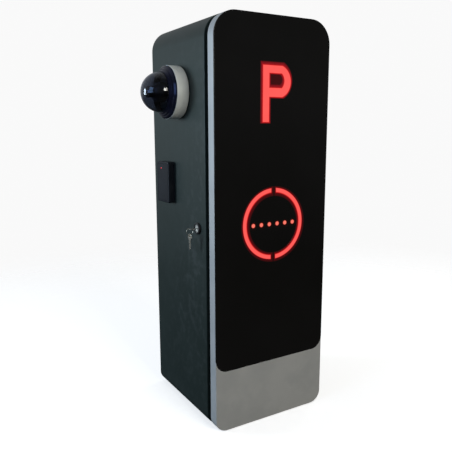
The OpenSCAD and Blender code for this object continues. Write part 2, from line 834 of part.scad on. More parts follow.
// The spare key hangs with its bow's hole around the lowest point of the ring
module spare_key() color([0.75, 0.75, 0.72]) {
    wire_z = lock_z - ring_drop - split_r - wire_r;
    hole_z = wire_z - (bow_hole_r - wire_r - free);
    translate([-side - bow_out, lock_y, hole_z - hole_at(spare_len)]) key_blank(spare_len);
}

// ---------- door ----------

// The face panel's outline, drawn larger by grow along its lower edge
module panel_outline(grow) {
    r = panel_r + grow;
    intersection() {
        outline(0);
        union() {
            translate([-side, panel_z + panel_r]) square([body_w, body_h]);
            translate([-side + r - grow, panel_z - grow]) square([body_w - 2 * (r - grow), r + grow]);
            for (s = [-1, 1])
                translate([s * (side - panel_r), panel_z + panel_r]) circle(r);
        }
    }
}

// The parking letter, drawn larger by grow on every side
module sign_shape(grow) {
    difference() {
        union() {
            translate([sign_x - grow, sign_z - grow]) square([stem_w + 2 * grow, sign_h + 2 * grow]);
            translate([sign_x - grow, sign_z + sign_h - bowl_h - grow])
                bow_right(sign_w + 2 * grow, bowl_h + 2 * grow, bowl_bulge);
        }
        translate([sign_x + stem_w + grow, counter_z + grow])
            bow_right(counter_w - 2 * grow, counter_h - 2 * grow, counter_bulge);
    }
}

// The two half rings, drawn larger by grow on every side
module ring_shape(grow) {
    translate([0, ring_z]) difference() {
        circle(ring_r + grow);
        circle(ring_r - band_w - grow);
        translate([-gap_w / 2 + grow, -2 * ring_r]) square([gap_w - 2 * grow, 4 * ring_r]);
    }
}

module dot_shape(grow) {
    for (i = [0 : dot_n - 1])
        translate([(i - (dot_n - 1) / 2) * dot_pitch, ring_z]) circle(dot_r + grow);
}

module sign_frame(grow) {
    translate([sign_x - grow, sign_z - grow]) square([sign_w + 2 * grow, sign_h + 2 * grow]);
}

module door_frame() color([0.62, 0.66, 0.7]) difference() {
    slab(y_front + panel_proud, door_d - panel_proud, 0);
    upright(y_front - eps, panel_t + eps) panel_outline(slip);
    slab(y_sheet + door_wall, door_d - panel_t - 2 * door_wall, door_wall);
    intersection() {
        slab(y_front + panel_proud + door_wall, door_d / 2, door_wall);
        box([-side, side], [y_front, y_door], [0, panel_z - 2 * door_wall]);
    }
    slab(y_door - door_wall - eps, door_wall + 2 * eps, door_lip);
    upright(y_sheet - eps, door_wall + 2 * eps) sign_frame(lens_rim + window_gap);
    translate([0, 0, ring_z]) rotate([-90, 0, 0])
        disc(y_sheet - eps, y_sheet + door_wall + eps, ring_r + lens_rim + window_gap);
}

module face_panel() color([0.03, 0.03, 0.035]) difference() {
    upright(y_front, panel_t) panel_outline(0);
    upright(y_front - eps, panel_t + 2 * eps) {
        sign_shape(lens_gap);
        ring_shape(lens_gap);
        dot_shape(lens_gap);
    }
}

module sign_lens() color([1, 0.2, 0.15]) {
    upright(y_front, panel_t + small_r) sign_shape(0);
    upright(y_sheet, rim_t) sign_shape(lens_rim);
}

module ring_lens() color([1, 0.2, 0.15]) {
    upright(y_front, panel_t + small_r) ring_shape(0);
    upright(y_sheet, rim_t) translate([0, ring_z]) difference() {
        circle(ring_r + lens_rim);
        circle(ring_r - band_w - lens_rim);
    }
}

module dot_lens() color([1, 0.2, 0.15]) {
    length = (dot_n - 1) * dot_pitch;
    upright(y_front, panel_t + small_r) dot_shape(0);
    upright(y_sheet, rim_t) translate([-length / 2, ring_z - dot_r - 2]) square([length, 2 * dot_r + 4]);
}

y_box = y_sheet + door_wall;
// Rear end of the shield around the dots, just clear of the lamps on their board
y_shield = y_box + box_d - box_t - board_t - led_t - 1;

module at_sign_ears() {
    for (x = [sign_x - box_rim - ear_w / 2, sign_x + sign_w + box_rim + ear_w / 2],
         z = [sign_z + 15, sign_z + sign_h - 15])
        translate([x, 0, z]) rotate([-90, 0, 0]) children();
}

module at_ring_ears() {
    for (a = [45 : 90 : 315])
        translate([0, 0, ring_z]) rotate([0, a, 0]) translate([ring_r + box_rim + ear_w / 2, 0, 0])
            rotate([-90, 0, 0]) children();
}

module ear() {
    translate([-ear_w / 2 - 1, -ear_w / 2, y_box]) cube([ear_w + 2, ear_w, ear_t]);
}

module sign_light_box() color([0.08, 0.08, 0.08]) difference() {
    union() {
        upright(y_box, box_d) sign_frame(box_rim);
        at_sign_ears() ear();
    }
    upright(y_box - eps, box_d - box_t + eps) sign_frame(box_rim - box_t);
    at_sign_ears() disc(y_box - eps, y_box + ear_t + eps, ear_screw_r + slip);
}

module ring_light_box() color([0.08, 0.08, 0.08]) {
    shield = dot_r + 5;
    length = ring_r - band_w - lens_rim - 6;
    difference() {
        union() {
            translate([0, 0, ring_z]) rotate([-90, 0, 0]) disc(y_box, y_box + box_d, ring_r + box_rim);
            at_ring_ears() ear();
        }
        translate([0, 0, ring_z]) rotate([-90, 0, 0])
            disc(y_box - eps, y_box + box_d - box_t, ring_r + box_rim - box_t);
        at_ring_ears() disc(y_box - eps, y_box + ear_t + eps, ear_screw_r + slip);
    }
    difference() {
        box([-length, length], [y_box, y_shield], [ring_z - shield, ring_z + shield]);
        box([-length + box_t, length - box_t], [y_box - eps, y_box + box_d],
            [ring_z - shield + box_t, ring_z + shield - box_t]);
    }
    for (s = [-1, 1])
        translate([s * (length - box_t / 2), 0, ring_z]) rotate([-90, 0, 0])
            disc(y_shield - eps, y_box + box_d - box_t + eps, shield_peg_r);
}

module led(x, z) {
    y = y_box + box_d - box_t - board_t;
    box([x - led_w / 2, x + led_w / 2], [y - led_t, y + small_r], [z - led_w / 2, z + led_w / 2]);
}

module sign_led_board() color([0.85, 0.85, 0.8]) {
    upright(y_box + box_d - box_t - board_t, board_t) sign_frame(box_rim - box_t - 1);
    for (i = [0 : 5])
        led(sign_x + stem_w / 2, sign_z + sign_h * (i + 0.5) / 6);
    for (i = [1 : 3], z = [counter_z - 12, counter_z + counter_h + 10])
        led(sign_x + stem_w / 2 + i * 19, z);
    led(sign_x + sign_w - 11, counter_z + counter_h / 2);
}

module ring_led_board() color([0.85, 0.85, 0.8]) {
    y = y_box + box_d - box_t - board_t;
    length = ring_r - band_w - lens_rim - 6;
    difference() {
        translate([0, 0, ring_z]) rotate([-90, 0, 0]) disc(y, y + board_t, ring_r + box_rim - box_t - 1);
        for (s = [-1, 1])
            translate([s * (length - box_t / 2), 0, ring_z]) rotate([-90, 0, 0])
                disc(y - eps, y + board_t + eps, shield_peg_r + slip);
    }
    for (a = [7.5 : 15 : 359])
        led((ring_r - band_w / 2) * cos(a), ring_z + (ring_r - band_w / 2) * sin(a));
    for (i = [0 : dot_n - 1])
        led((i - (dot_n - 1) / 2) * dot_pitch, ring_z);
}

module box_screw() {
    disc(y_box, y_box + ear_t + 0.5, ear_screw_r);
    disc(y_box + ear_t, y_box + ear_t + 1.8, 2.8);
}

module box_screws() color([0.7, 0.7, 0.72]) {
    at_sign_ears() box_screw();
    at_ring_ears() box_screw();
}

module at_keeper_screws() {
    for (s = [-1, 1])
        translate([keeper_x - keeper_foot + 6, 0, keeper_z + keeper_h / 2 + s * 18])
            rotate([-90, 0, 0]) children();
}

// The hook on the door that the lock's cam turns in front of
module lock_keeper() color([0.6, 0.61, 0.62]) {
    rear = lock_y + cam_w / 2 + keeper_gap;
    difference() {
        box([keeper_x - keeper_foot + keeper_t, keeper_x + keeper_t], [y_door, y_door + keeper_t],
            [keeper_z - 16, keeper_z + keeper_h + 16]);
        at_keeper_screws() disc(y_door - eps, y_door + keeper_t + eps, ear_screw_r + slip);
    }
    box([keeper_x, keeper_x + keeper_t], [y_door, rear + keeper_t], [keeper_z, keeper_z + keeper_h]);
    box([keeper_x - keeper_tab, keeper_x + keeper_t], [rear, rear + keeper_t], [keeper_z, keeper_z + keeper_h]);
}

module keeper_screws() color([0.7, 0.7, 0.72]) at_keeper_screws() {
    disc(y_door, y_door + keeper_t + 0.5, ear_screw_r);
    disc(y_door + keeper_t, y_door + keeper_t + 1.8, 2.8);
}

cabinet_shell();
rear_panel();
rear_screws();
base_plate();
cable_grommet();
earth_stud();
front_collar();
door_seal();
hinge_body_wings();
hinge_pins();
chassis_plate();
chassis_posts();
chassis_screws();
din_rail();
power_supply();
breaker_body();
breaker_toggle();
terminal_block();
controller_board();
board_standoffs();
board_screws();
reader_back();
reader_cover();
reader_led();
reader_board();
reader_screws();
camera_gasket();
camera_base();
camera_screws();
camera_board();
camera_collar();
camera_dome();
camera_pan_fork();
camera_ball();
camera_lens();
lock_collar();
lock_barrel();
lock_nut();
lock_plug();
lock_cam();
cam_screw();
key();
split_ring();
spare_key();
door_frame();
face_panel();
sign_lens();
ring_lens();
dot_lens();
sign_light_box();
ring_light_box();
sign_led_board();
ring_led_board();
box_screws();
hinge_door_wings();
lock_keeper();
keeper_screws();
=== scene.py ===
# A parking station cabinet of folded steel with a lit door, a dome camera, a card reader and a cam lock.
# The pieces follow the order in which the cabinet is put together. All sizes are in metres.
import math

import bmesh
import bpy
from mathutils import Matrix, Vector, geometry


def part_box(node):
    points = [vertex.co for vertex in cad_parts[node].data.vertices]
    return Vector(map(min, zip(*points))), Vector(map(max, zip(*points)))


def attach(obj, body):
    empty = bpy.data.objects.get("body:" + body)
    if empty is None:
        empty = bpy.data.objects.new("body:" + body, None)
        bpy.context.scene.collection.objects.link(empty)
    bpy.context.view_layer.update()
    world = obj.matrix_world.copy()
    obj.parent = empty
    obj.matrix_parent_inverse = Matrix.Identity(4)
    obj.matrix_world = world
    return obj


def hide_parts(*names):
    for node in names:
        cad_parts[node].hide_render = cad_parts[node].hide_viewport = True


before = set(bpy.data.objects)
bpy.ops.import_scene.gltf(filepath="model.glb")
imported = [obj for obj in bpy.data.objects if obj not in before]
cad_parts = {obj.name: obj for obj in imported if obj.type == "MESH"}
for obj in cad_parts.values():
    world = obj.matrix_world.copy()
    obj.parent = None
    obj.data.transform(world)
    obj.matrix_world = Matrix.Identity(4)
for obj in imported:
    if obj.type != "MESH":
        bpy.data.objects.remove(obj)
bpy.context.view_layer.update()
scene = bpy.context.scene

# ---------------------------------------------------------------- studio camera
# A plain camera on a tripod at waist height, in front of the cabinet and to its left.
# It looks down a little, so that the left wall and the door both show.
look_at = Vector((-0.1418, -0.176, 0.5458))
heading, height_angle, tilt = math.radians(-30.8), math.radians(10.31), math.radians(-0.2)
stand_off = 1.3129
backward = Vector((
    math.sin(heading) * math.cos(height_angle),
    -math.cos(heading) * math.cos(height_angle),
    math.sin(height_angle),
))
studio_camera = bpy.data.objects.new("studio_camera", bpy.data.cameras.new("studio_camera"))
studio_camera.data.sensor_width = 36.0
studio_camera.data.lens = 42.8
studio_camera.location = look_at + backward * stand_off
level = backward.to_track_quat("Z", "Y").to_matrix()
studio_camera.rotation_euler = (level @ Matrix.Rotation(tilt, 3, "Z")).to_euler()
scene.collection.objects.link(studio_camera)
scene.camera = studio_camera
scene.view_settings.view_transform = "Standard"

# ---------------------------------------------------------------- room and lights
# A pale room: a smooth floor that fades into a white backdrop, a cool softbox behind the left wall,
# a warmer one in front, weak lamps above and at both sides, and a dark front that the door mirrors.


def add(tree, kind, inputs=(), **settings):
    """One shader node with its settings, and its inputs linked or set."""
    made = tree.nodes.new("ShaderNode" + kind)
    for name, value in settings.items():
        setattr(made, name, value)
    for socket, value in dict(inputs).items():
        if isinstance(value, bpy.types.NodeSocket):
            tree.links.new(value, made.inputs[socket])
        else:
            made.inputs[socket].default_value = value
    return made


def maths(tree, kind, *values):
    """What one sum of up to three values gives."""
    return add(tree, "Math", dict(enumerate(values)), operation=kind).outputs[0]


def ramp(tree, value, low, high, to_low=0.0, to_high=1.0):
    """A value brought smoothly from one range to another."""
    inputs = {"Value": value, "From Min": low, "From Max": high, "To Min": to_low, "To Max": to_high}
    return add(tree, "MapRange", inputs, interpolation_type="SMOOTHSTEP").outputs["Result"]


def noise(tree, place, scale, detail):
    return add(tree, "TexNoise", {"Vector": place, "Scale": scale, "Detail": detail}).outputs["Fac"]


room = bpy.data.worlds.new("room")
room.use_nodes = True
tree = room.node_tree
tree.nodes.clear()
outward = add(tree, "TexCoord").outputs["Generated"]
bright_way = Vector((-0.50, 0.84, 0.30)).normalized()
facing = add(tree, "VectorMath", {0: outward, 1: bright_way}, operation="DOT_PRODUCT")
upward = add(tree, "SeparateXYZ", {0: outward}).outputs["Z"]
glow_side = ramp(tree, facing.outputs["Value"], 0.25, 1.0, 0.10, 0.46)
glow_up = ramp(tree, upward, -0.34, 0.10, 0.12, 1.0)
lit = maths(tree, "MULTIPLY", glow_side, glow_up)
around = add(tree, "Background", {"Color": (0.93, 0.97, 1.0, 1.0), "Strength": lit})
backdrop = add(tree, "Background", {"Color": (1.0, 1.0, 1.0, 1.0), "Strength": 0.95})
seen = add(tree, "LightPath").outputs["Is Camera Ray"]
mixed = add(tree, "MixShader", {0: seen, 1: around.outputs[0], 2: backdrop.outputs[0]})
world_out = tree.nodes.new("ShaderNodeOutputWorld")
tree.links.new(mixed.outputs[0], world_out.inputs["Surface"])
scene.world = room

floor_mesh = bpy.data.meshes.new("studio_floor")
floor_build = bmesh.new()
bmesh.ops.create_circle(floor_build, cap_ends=True, segments=96, radius=9.0)
floor_build.to_mesh(floor_mesh)
floor_build.free()
floor = bpy.data.objects.new("studio_floor", floor_mesh)
floor.location.z = -0.0005
scene.collection.objects.link(floor)
floor_paint = bpy.data.materials.new("studio_floor")
floor_paint.use_nodes = True
tree = floor_paint.node_tree
shader = tree.nodes["Principled BSDF"]
where = add(tree, "NewGeometry").outputs["Position"]
speckle = noise(tree, where, 60.0, 4.0)
pale = ramp(tree, speckle, 0.3, 0.7, 0.88, 0.92)
seen = add(tree, "LightPath").outputs["Is Camera Ray"]
shade = add(tree, "MapRange", {"Value": seen, "To Min": 0.07, "To Max": pale}).outputs["Result"]
tree.links.new(shade, shader.inputs["Base Color"])
shader.inputs["Roughness"].default_value = 0.75
shader.inputs["Specular IOR Level"].default_value = 0.2
away = add(tree, "VectorMath", {0: where}, operation="LENGTH").outputs["Value"]
fade = ramp(tree, away, 0.5, 2.4)
# The floor's lift fades out under the cabinet, leaving painted shade beneath it.
lift_beyond_painted_shade = ramp(tree, away, 0.08, 0.15, 0.0, 0.62)
lift = add(tree, "Emission", {"Strength": maths(tree, "MULTIPLY", seen, lift_beyond_painted_shade)})
lifted = add(tree, "AddShader", {0: shader.outputs[0], 1: lift.outputs[0]})
clear = add(tree, "BsdfTransparent")
mixed = add(tree, "MixShader", {0: fade, 1: lifted.outputs[0], 2: clear.outputs[0]})
tree.links.new(mixed.outputs[0], tree.nodes["Material Output"].inputs["Surface"])
floor_mesh.materials.append(floor_paint)


def softbox(name, place, aim, width, height, power, colour=(1.0, 1.0, 1.0)):
    """A square lamp with a diffusing front, aimed at a point."""
    lamp = bpy.data.lights.new(name, "AREA")
    lamp.shape, lamp.size, lamp.size_y, lamp.energy, lamp.color = "RECTANGLE", width, height, power, colour
    stand = bpy.data.objects.new(name, lamp)
    stand.location = place
    stand.rotation_euler = (Vector(place) - Vector(aim)).to_track_quat("Z", "Y").to_euler()
    scene.collection.objects.link(stand)


softbox("softbox_behind_left", (-2.9, 1.75, 0.95), (-0.17, 0.0, 0.45), 0.9, 1.2, 51.0, (0.74, 0.89, 1.0))
softbox("softbox_front", (0.10, -2.9, 1.5), (0.0, -0.17, 0.4), 1.0, 0.8, 40.0, (1.0, 0.96, 0.86))
softbox("softbox_above", (0.2, 0.5, 3.2), (0.0, 0.0, 0.0), 2.0, 2.0, 2.0)
softbox("fill_right", (2.7, 0.9, 1.4), (0.17, 0.1, 0.5), 1.2, 1.2, 14.0, (0.95, 0.98, 1.0))
softbox("window_left", (-2.5, -0.45, 1.25), (-0.22, 0.0, 0.87), 1.0, 1.2, 10.0, (0.36, 0.58, 1.0))

# ---------------------------------------------------------------- cabinet shell
# The wrap-around body: one 2.5 mm steel sheet bent into a tube with large round corners, its front
# and rear edges folded inward, then powder coated in a dark satin green-grey with a fine texture.
body_low, body_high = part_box("cabinet_shell")
door_low, door_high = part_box("door_frame")
half_width, cabinet_top = body_high.x, body_high.z
body_front, body_rear = body_low.y, body_high.y
top_radius, bottom_radius, sheet = 0.059, 0.033, 0.0025
fold, rear_set_in = 0.016, 0.002


def arc(radius, start, end, steps, across=0.0, up=0.0):
    """Points along an arc from one angle to another, about a middle point."""
    turns = [start + (end - start) * k / steps for k in range(steps + 1)]
    return [Vector((across + radius * math.cos(a), up + radius * math.sin(a))) for a in turns]


def round_line(radius, steps, across=0.0, up=0.0):
    """A closed circle of points about a middle point."""
    return arc(radius, 0.0, 2 * math.pi, steps, across, up)[:-1]


def soften(corners, radius=0.0004, steps=3, closed=True):
    """Corners of a flat outline, each rounded by an arc; a corner may carry its own radius."""
    line = []
    last = len(corners) - 1
    for i, corner in enumerate(corners):
        point = Vector(corner[:2])
        if not closed and i in (0, last):
            line.append(point)
            continue
        before = Vector(corners[i - 1][:2]) - point
        after = Vector(corners[(i + 1) % len(corners)][:2]) - point
        half = before.angle(after) / 2
        wanted = corner[2] if len(corner) > 2 else radius
        cut = wanted / math.tan(half) if half > 0.01 else 0.0
        cut = min(cut, 0.49 * before.length, 0.49 * after.length)
        if wanted <= 0 or cut < 1e-6 or half > 1.55:
            line.append(point)
            continue
        start, end = point + before.normalized() * cut, point + after.normalized() * cut
        middle = point + (before.normalized() + after.normalized()).normalized() * (cut / math.cos(half))
        first, sweep = start - middle, (start - middle).angle_signed(end - middle)
        for k in range(steps + 1):
            line.append(middle + Matrix.Rotation(-sweep * k / steps, 2) @ first)
    return line


def cabinet_outline(inset):
    """The cabinet seen from the front, smaller by inset on every side, as (across, up) points."""
    x, low, high = half_width - inset, inset, cabinet_top - inset
    foot, crown = max(bottom_radius - inset, 0.001), max(top_radius - inset, 0.001)
    corners = [(x, low, foot), (x, high, crown), (-x, high, crown), (-x, low, foot)]
    return soften(corners, steps=14)


def loft(build, rings, closed=False, first_cap=False, last_cap=False):
    """Skins a row of rings that have the same number of points; rings are lists of 3-D points."""
    rows = [[build.verts.new(point) for point in ring] for ring in rings]
    count = len(rows[0])
    for a, b in zip(rows, rows[1:] + rows[:1] if closed else rows[1:]):
        for i in range(count):
            j = (i + 1) % count
            build.faces.new((a[i], a[j], b[j], b[i]))
    if first_cap:
        build.faces.new(rows[0][::-1])
    if last_cap:
        build.faces.new(rows[-1])
    return rows


def solid(build, rings):
    """A row of rings, skinned and closed at both ends."""
    loft(build, rings, first_cap=True, last_cap=True)


def upright(outline, y):
    """A front-view outline stood up at one depth."""
    return [Vector((point[0], y, point[1])) for point in outline]


def made_from(build, place=None):
    """A mesh from what has been built, with its faces turned outward."""
    bmesh.ops.remove_doubles(build, verts=build.verts, dist=2e-6)
    bmesh.ops.recalc_face_normals(build, faces=build.faces)
    if place is not None:
        build.transform(place)
    mesh = bpy.data.meshes.new("built")
    build.to_mesh(mesh)
    build.free()
    return mesh


def folded(section):
    """A frame that runs round the cabinet's outline, from a closed section of (inset, depth) points."""
    build = bmesh.new()
    loft(build, [upright(cabinet_outline(inset), y) for inset, y in section], closed=True)
    return made_from(build)


def cut_away(mesh, *tools):
    """The mesh less the tool meshes, cut exactly."""
    work = bpy.data.objects.new("work", mesh)
    scene.collection.objects.link(work)
    helpers = []
    for tool in tools:
        helper = bpy.data.objects.new("tool", tool)
        scene.collection.objects.link(helper)
        helpers.append(helper)
        step = work.modifiers.new("cut", "BOOLEAN")
        step.object, step.solver = helper, "EXACT"
    bpy.context.view_layer.update()
    result = bpy.data.meshes.new_from_object(work.evaluated_get(bpy.context.evaluated_depsgraph_get()))
    for helper in helpers + [work]:
        bpy.data.objects.remove(helper)
    return result


def piece(name, mesh, material, body, slot, *stands_for, sharp=32):
    """One finished piece: its material, its smooth faces and sharp edges, and its body. Its slot is not used.
    """
    mesh.name = name
    mesh.materials.clear()
    mesh.materials.append(material)
    mesh.shade_smooth()
    mesh.set_sharp_from_angle(angle=math.radians(sharp))
    made = bpy.data.objects.new(name, mesh)
    made.modifiers.new("flat_faces", "WEIGHTED_NORMAL").keep_sharp = True
    scene.collection.objects.link(made)
    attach(made, body)
    if stands_for:
        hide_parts(*stands_for)
    return made


def turned(profile, place, closed=True, steps=96):
    """A turned part from (radius, out) points; a profile that starts or ends on the axis is closed there."""
    build = bmesh.new()
    rings = [[Vector((*p, out)) for p in round_line(radius, steps)] for radius, out in profile]
    loft(build, rings, closed=closed)
    bmesh.ops.remove_doubles(build, verts=build.verts, dist=1e-6)
    return made_from(build, place)


def drill(radius, place, steps, near=-0.01, far=0.01):
    """The round tool that cuts one hole along +Z of its place."""
    return turned([(0, near), (radius, near), (radius, far), (0, far)], place, closed=False, steps=steps)


def middle_of(node):
    """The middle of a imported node's box."""
    low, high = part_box(node)
    return (Vector(low) + Vector(high)) / 2


def from_wall(y, z):
    """Places what points along +Z so that it points out of the left wall, with +X up."""
    return Matrix(((0, 0, -1, -half_width), (0, 1, 0, y), (1, 0, 0, z), (0, 0, 0, 1)))


def from_floor(x, y):
    """Places what points along +Z so that it stands on the floor."""
    return Matrix.Translation((x, y, 0))


def coat(name, layers, **sockets):
    """A material made of layers, which are node groups. Each takes up what the ones below give out,
    and the last ones reach the material's own shader. Sockets are the same all over the surface."""
    made = bpy.data.materials.new(name)
    made.use_nodes = True
    tree = made.node_tree
    shader = tree.nodes["Principled BSDF"]
    for socket, value in sockets.items():
        shader.inputs[socket.replace("_", " ")].default_value = value
    below = {}
    for group, values in layers:
        layer = tree.nodes.new("ShaderNodeGroup")
        layer.node_tree = group
        for socket in layer.inputs:
            if socket.name in values:
                socket.default_value = values[socket.name]
            elif socket.name in below:
                tree.links.new(below[socket.name], socket)
        below.update({socket.name: socket for socket in layer.outputs})
    ends = {"Color": "Base Color", "Glow": "Emission Color"}
    for given, source in below.items():
        target = ends.get(given, given)
        if target in shader.inputs:
            tree.links.new(source, shader.inputs[target])
    return made


def new_layer(name, takes, gives):
    """An empty layer with its named inputs and outputs."""
    group = bpy.data.node_groups.new(name, "ShaderNodeTree")
    kinds = {"c": "NodeSocketColor", "f": "NodeSocketFloat", "v": "NodeSocketVector"}
    for socket, (kind, value) in takes.items():
        group.interface.new_socket(socket, in_out="INPUT", socket_type=kinds[kind]).default_value = value
    for socket, kind in gives.items():
        group.interface.new_socket(socket, in_out="OUTPUT", socket_type=kinds[kind])
    taken = group.nodes.new("NodeGroupInput").outputs
    given = group.nodes.new("NodeGroupOutput").inputs
    return group, taken, given


def blend_colours(tree, factor, low, high):
    """The colour between two others, by a factor from 0 to 1."""
    return add(tree, "Mix", {0: factor, 6: low, 7: high}, data_type="RGBA").outputs[2]


grey = (0.5, 0.5, 0.5, 1.0)
# Grain: patches of a second tint, a gloss that varies with them, and a fine pimpled relief.
grain, taken, given = new_layer(
    "grain",
    {"Color": ("c", grey), "Tint": ("c", grey), "Patch Scale": ("f", 9.0), "Roughness": ("f", 0.5),
     "Spread": ("f", 0.1), "Grain Scale": ("f", 900.0), "Stretch": ("v", (1.0, 1.0, 1.0)),
     "Relief": ("f", 0.00004)},
    {"Color": "c", "Roughness": "f", "Normal": "v"},
)
place = add(grain, "TexCoord").outputs["Object"]
place = add(grain, "VectorMath", {0: place, 1: taken["Stretch"]}, operation="MULTIPLY").outputs[0]
patches = noise(grain, place, taken["Patch Scale"], 4.0)
pimples = noise(grain, place, taken["Grain Scale"], 2.0)
mottle = maths(grain, "ADD", ramp(grain, patches, 0.3, 0.7), maths(grain, "MULTIPLY", pimples, 0.35))
grain.links.new(blend_colours(grain, maths(grain, "MINIMUM", mottle, 1.0), taken["Color"], taken["Tint"]),
                given["Color"])
off_middle = maths(grain, "SUBTRACT", patches, 0.5)
grain.links.new(maths(grain, "MULTIPLY_ADD", off_middle, taken["Spread"], taken["Roughness"]),
                given["Roughness"])
relief = add(grain, "Bump", {"Height": pimples, "Distance": taken["Relief"]})
grain.links.new(relief.outputs["Normal"], given["Normal"])


def grained(colour, tint, patch, roughness, spread, fineness, relief, stretch=(1.0, 1.0, 1.0)):
    """The grain layer of one material, with its own values."""
    return grain, {"Color": (*colour, 1.0), "Tint": (*tint, 1.0), "Patch Scale": patch, "Spread": spread,
                   "Roughness": roughness, "Grain Scale": fineness, "Relief": relief, "Stretch": stretch}


# Wear: coats rub thin along their outer edges, in broken patches.
worn, taken, given = new_layer(
    "worn_edges",
    {"Color": ("c", grey), "Roughness": ("f", 0.5), "Bare": ("c", grey), "Amount": ("f", 0.5)},
    {"Color": "c", "Roughness": "f"},
)
place = add(worn, "TexCoord").outputs["Object"]
rubs = noise(worn, place, 55.0, 5.0)
edge = ramp(worn, add(worn, "NewGeometry").outputs["Pointiness"], 0.515, 0.60)
mask = maths(worn, "MULTIPLY", edge, ramp(worn, rubs, 0.45, 0.7))
mask = maths(worn, "MULTIPLY", mask, taken["Amount"])
worn.links.new(blend_colours(worn, mask, taken["Color"], taken["Bare"]), given["Color"])
worn.links.new(maths(worn, "MULTIPLY_ADD", mask, -0.12, taken["Roughness"]), given["Roughness"])


def rubbed(bare, amount):
    """The wear layer of one material: what shows where the coat is thin, and how much."""
    return worn, {"Bare": (*bare, 1.0), "Amount": amount}


# Dust: it settles on faces that look up, and splashes from the floor onto the lowest part.
dusty, taken, given = new_layer(
    "settled_dust",
    {"Color": ("c", grey), "Roughness": ("f", 0.5), "Dust": ("c", (0.32, 0.30, 0.27, 1.0)),
     "Amount": ("f", 0.3), "Splash": ("f", 0.12)},
    {"Color": "c", "Roughness": "f"},
)
place = add(dusty, "TexCoord").outputs["Object"]
drift = noise(dusty, place, 30.0, 6.0)
height = add(dusty, "SeparateXYZ", {0: place}).outputs["Z"]
looks_up = add(dusty, "SeparateXYZ", {0: add(dusty, "NewGeometry").outputs["Normal"]}).outputs["Z"]
low_down = maths(dusty, "SUBTRACT", 1.0, maths(dusty, "DIVIDE", height, taken["Splash"]))
low_down = maths(dusty, "MULTIPLY", maths(dusty, "MAXIMUM", low_down, 0.0), 0.6)
lying = maths(dusty, "MAXIMUM", low_down, ramp(dusty, looks_up, 0.5, 1.0))
lying = maths(dusty, "MULTIPLY", lying, ramp(dusty, drift, 0.3, 0.75))
mask = maths(dusty, "MULTIPLY", lying, taken["Amount"])
dusty.links.new(blend_colours(dusty, mask, taken["Color"], taken["Dust"]), given["Color"])
dusty.links.new(maths(dusty, "MULTIPLY_ADD", mask, 0.4, taken["Roughness"]), given["Roughness"])


def dusted(amount, splash):
    """The dust layer of one material: how much lies on it, and how high the floor's dirt splashes."""
    return dusty, {"Amount": amount, "Splash": splash}


body_coat = coat("body_powder_coat", [
    grained((0.014, 0.0225, 0.0205), (0.017, 0.0262, 0.0242), 7.0, 0.40, 0.10, 1100.0, 0.00005),
    rubbed((0.12, 0.13, 0.13), 0.35),
    dusted(0.08, 0.06),
], Specular_IOR_Level=0.30, Specular_Tint=(0.78, 1.0, 0.96, 1.0))

fold_y = body_rear - rear_set_in
section = soften([
    (0.0, body_front, 0.0022), (0.0, body_rear, 0.0008), (sheet, body_rear), (sheet, fold_y),
    (fold, fold_y), (fold, fold_y - sheet), (sheet, fold_y - sheet, 0.001),
    (sheet, body_front + sheet, 0.001), (fold, body_front + sheet), (fold, body_front),
])
plate_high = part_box("base_plate")[1]
grommet_low, grommet_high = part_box("cable_grommet")
lock_y, lock_z = middle_of("lock_collar").yz
barrel_radius = 0.0095
entry_y = (grommet_low.y + grommet_high.y) / 2
entry_radius, anchor_radius = 0.034, 0.0065
anchors = [(x * 0.110, y * 0.100) for x in (-1, 1) for y in (-1, 1)]
drills = [drill(entry_radius, from_floor(0.0, entry_y), 64)]
drills += [drill(anchor_radius, from_floor(x, y), 32) for x, y in anchors]
drills.append(drill(barrel_radius, from_wall(lock_y, lock_z), 48))
piece("cabinet_body", cut_away(folded(section), *drills), body_coat, "cabinet", "body_paint", "cabinet_shell")

# ---------------------------------------------------------------- rear panel and its screws
# A flat sheet in the same coat closes the back, set in flush between the folded edges. Six zinc
# plated button-head screws with hexagon sockets hold it to the fold.
panel_low, panel_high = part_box("rear_panel")
screw_low, screw_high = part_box("rear_screws")
fit = 0.00015
cover_y = panel_low.y
rear_cover = bmesh.new()
solid(rear_cover, [upright(cabinet_outline(sheet + fit + inset), y) for inset, y in (
    (0.0005, panel_high.y), (0.0001, panel_high.y - 0.0001), (0.0, panel_high.y - 0.0004),
    (0.0, cover_y + 0.0004), (0.0003, cover_y))])
piece("rear_cover", made_from(rear_cover), body_coat, "cabinet", "body_paint", "rear_panel")

zinc = coat("bright_zinc", [
    grained((0.46, 0.47, 0.49), (0.58, 0.58, 0.55), 160.0, 0.30, 0.22, 2500.0, 0.00001), dusted(0.15, 0.02),
], Metallic=1.0)


def button_head(build, place, head=0.004, rise=0.0024, socket=0.0015, shank=0.002, length=0.0075):
    """One screw along +Z from its seat: a domed head with a hexagon socket, and its shank."""
    spin = [math.pi * k / 12 for k in range(24)]
    crown = [(shank, -length), (shank, 0.0), (head, 0.0), (head, 0.25 * rise), (0.93 * head, 0.55 * rise),
             (0.75 * head, 0.85 * rise), (0.52 * head, rise)]
    rings = [[place @ Vector((r * math.cos(a), r * math.sin(a), out)) for a in spin] for r, out in crown]
    for out, scale in ((rise, 1.0), (0.35 * rise, 0.96)):
        ring = []
        for a in spin:
            flat = socket * scale * math.cos(math.pi / 6) / math.cos((a % (math.pi / 3)) - math.pi / 6)
            ring.append(place @ Vector((flat * math.cos(a), flat * math.sin(a), out)))
        rings.append(ring)
    solid(build, rings)


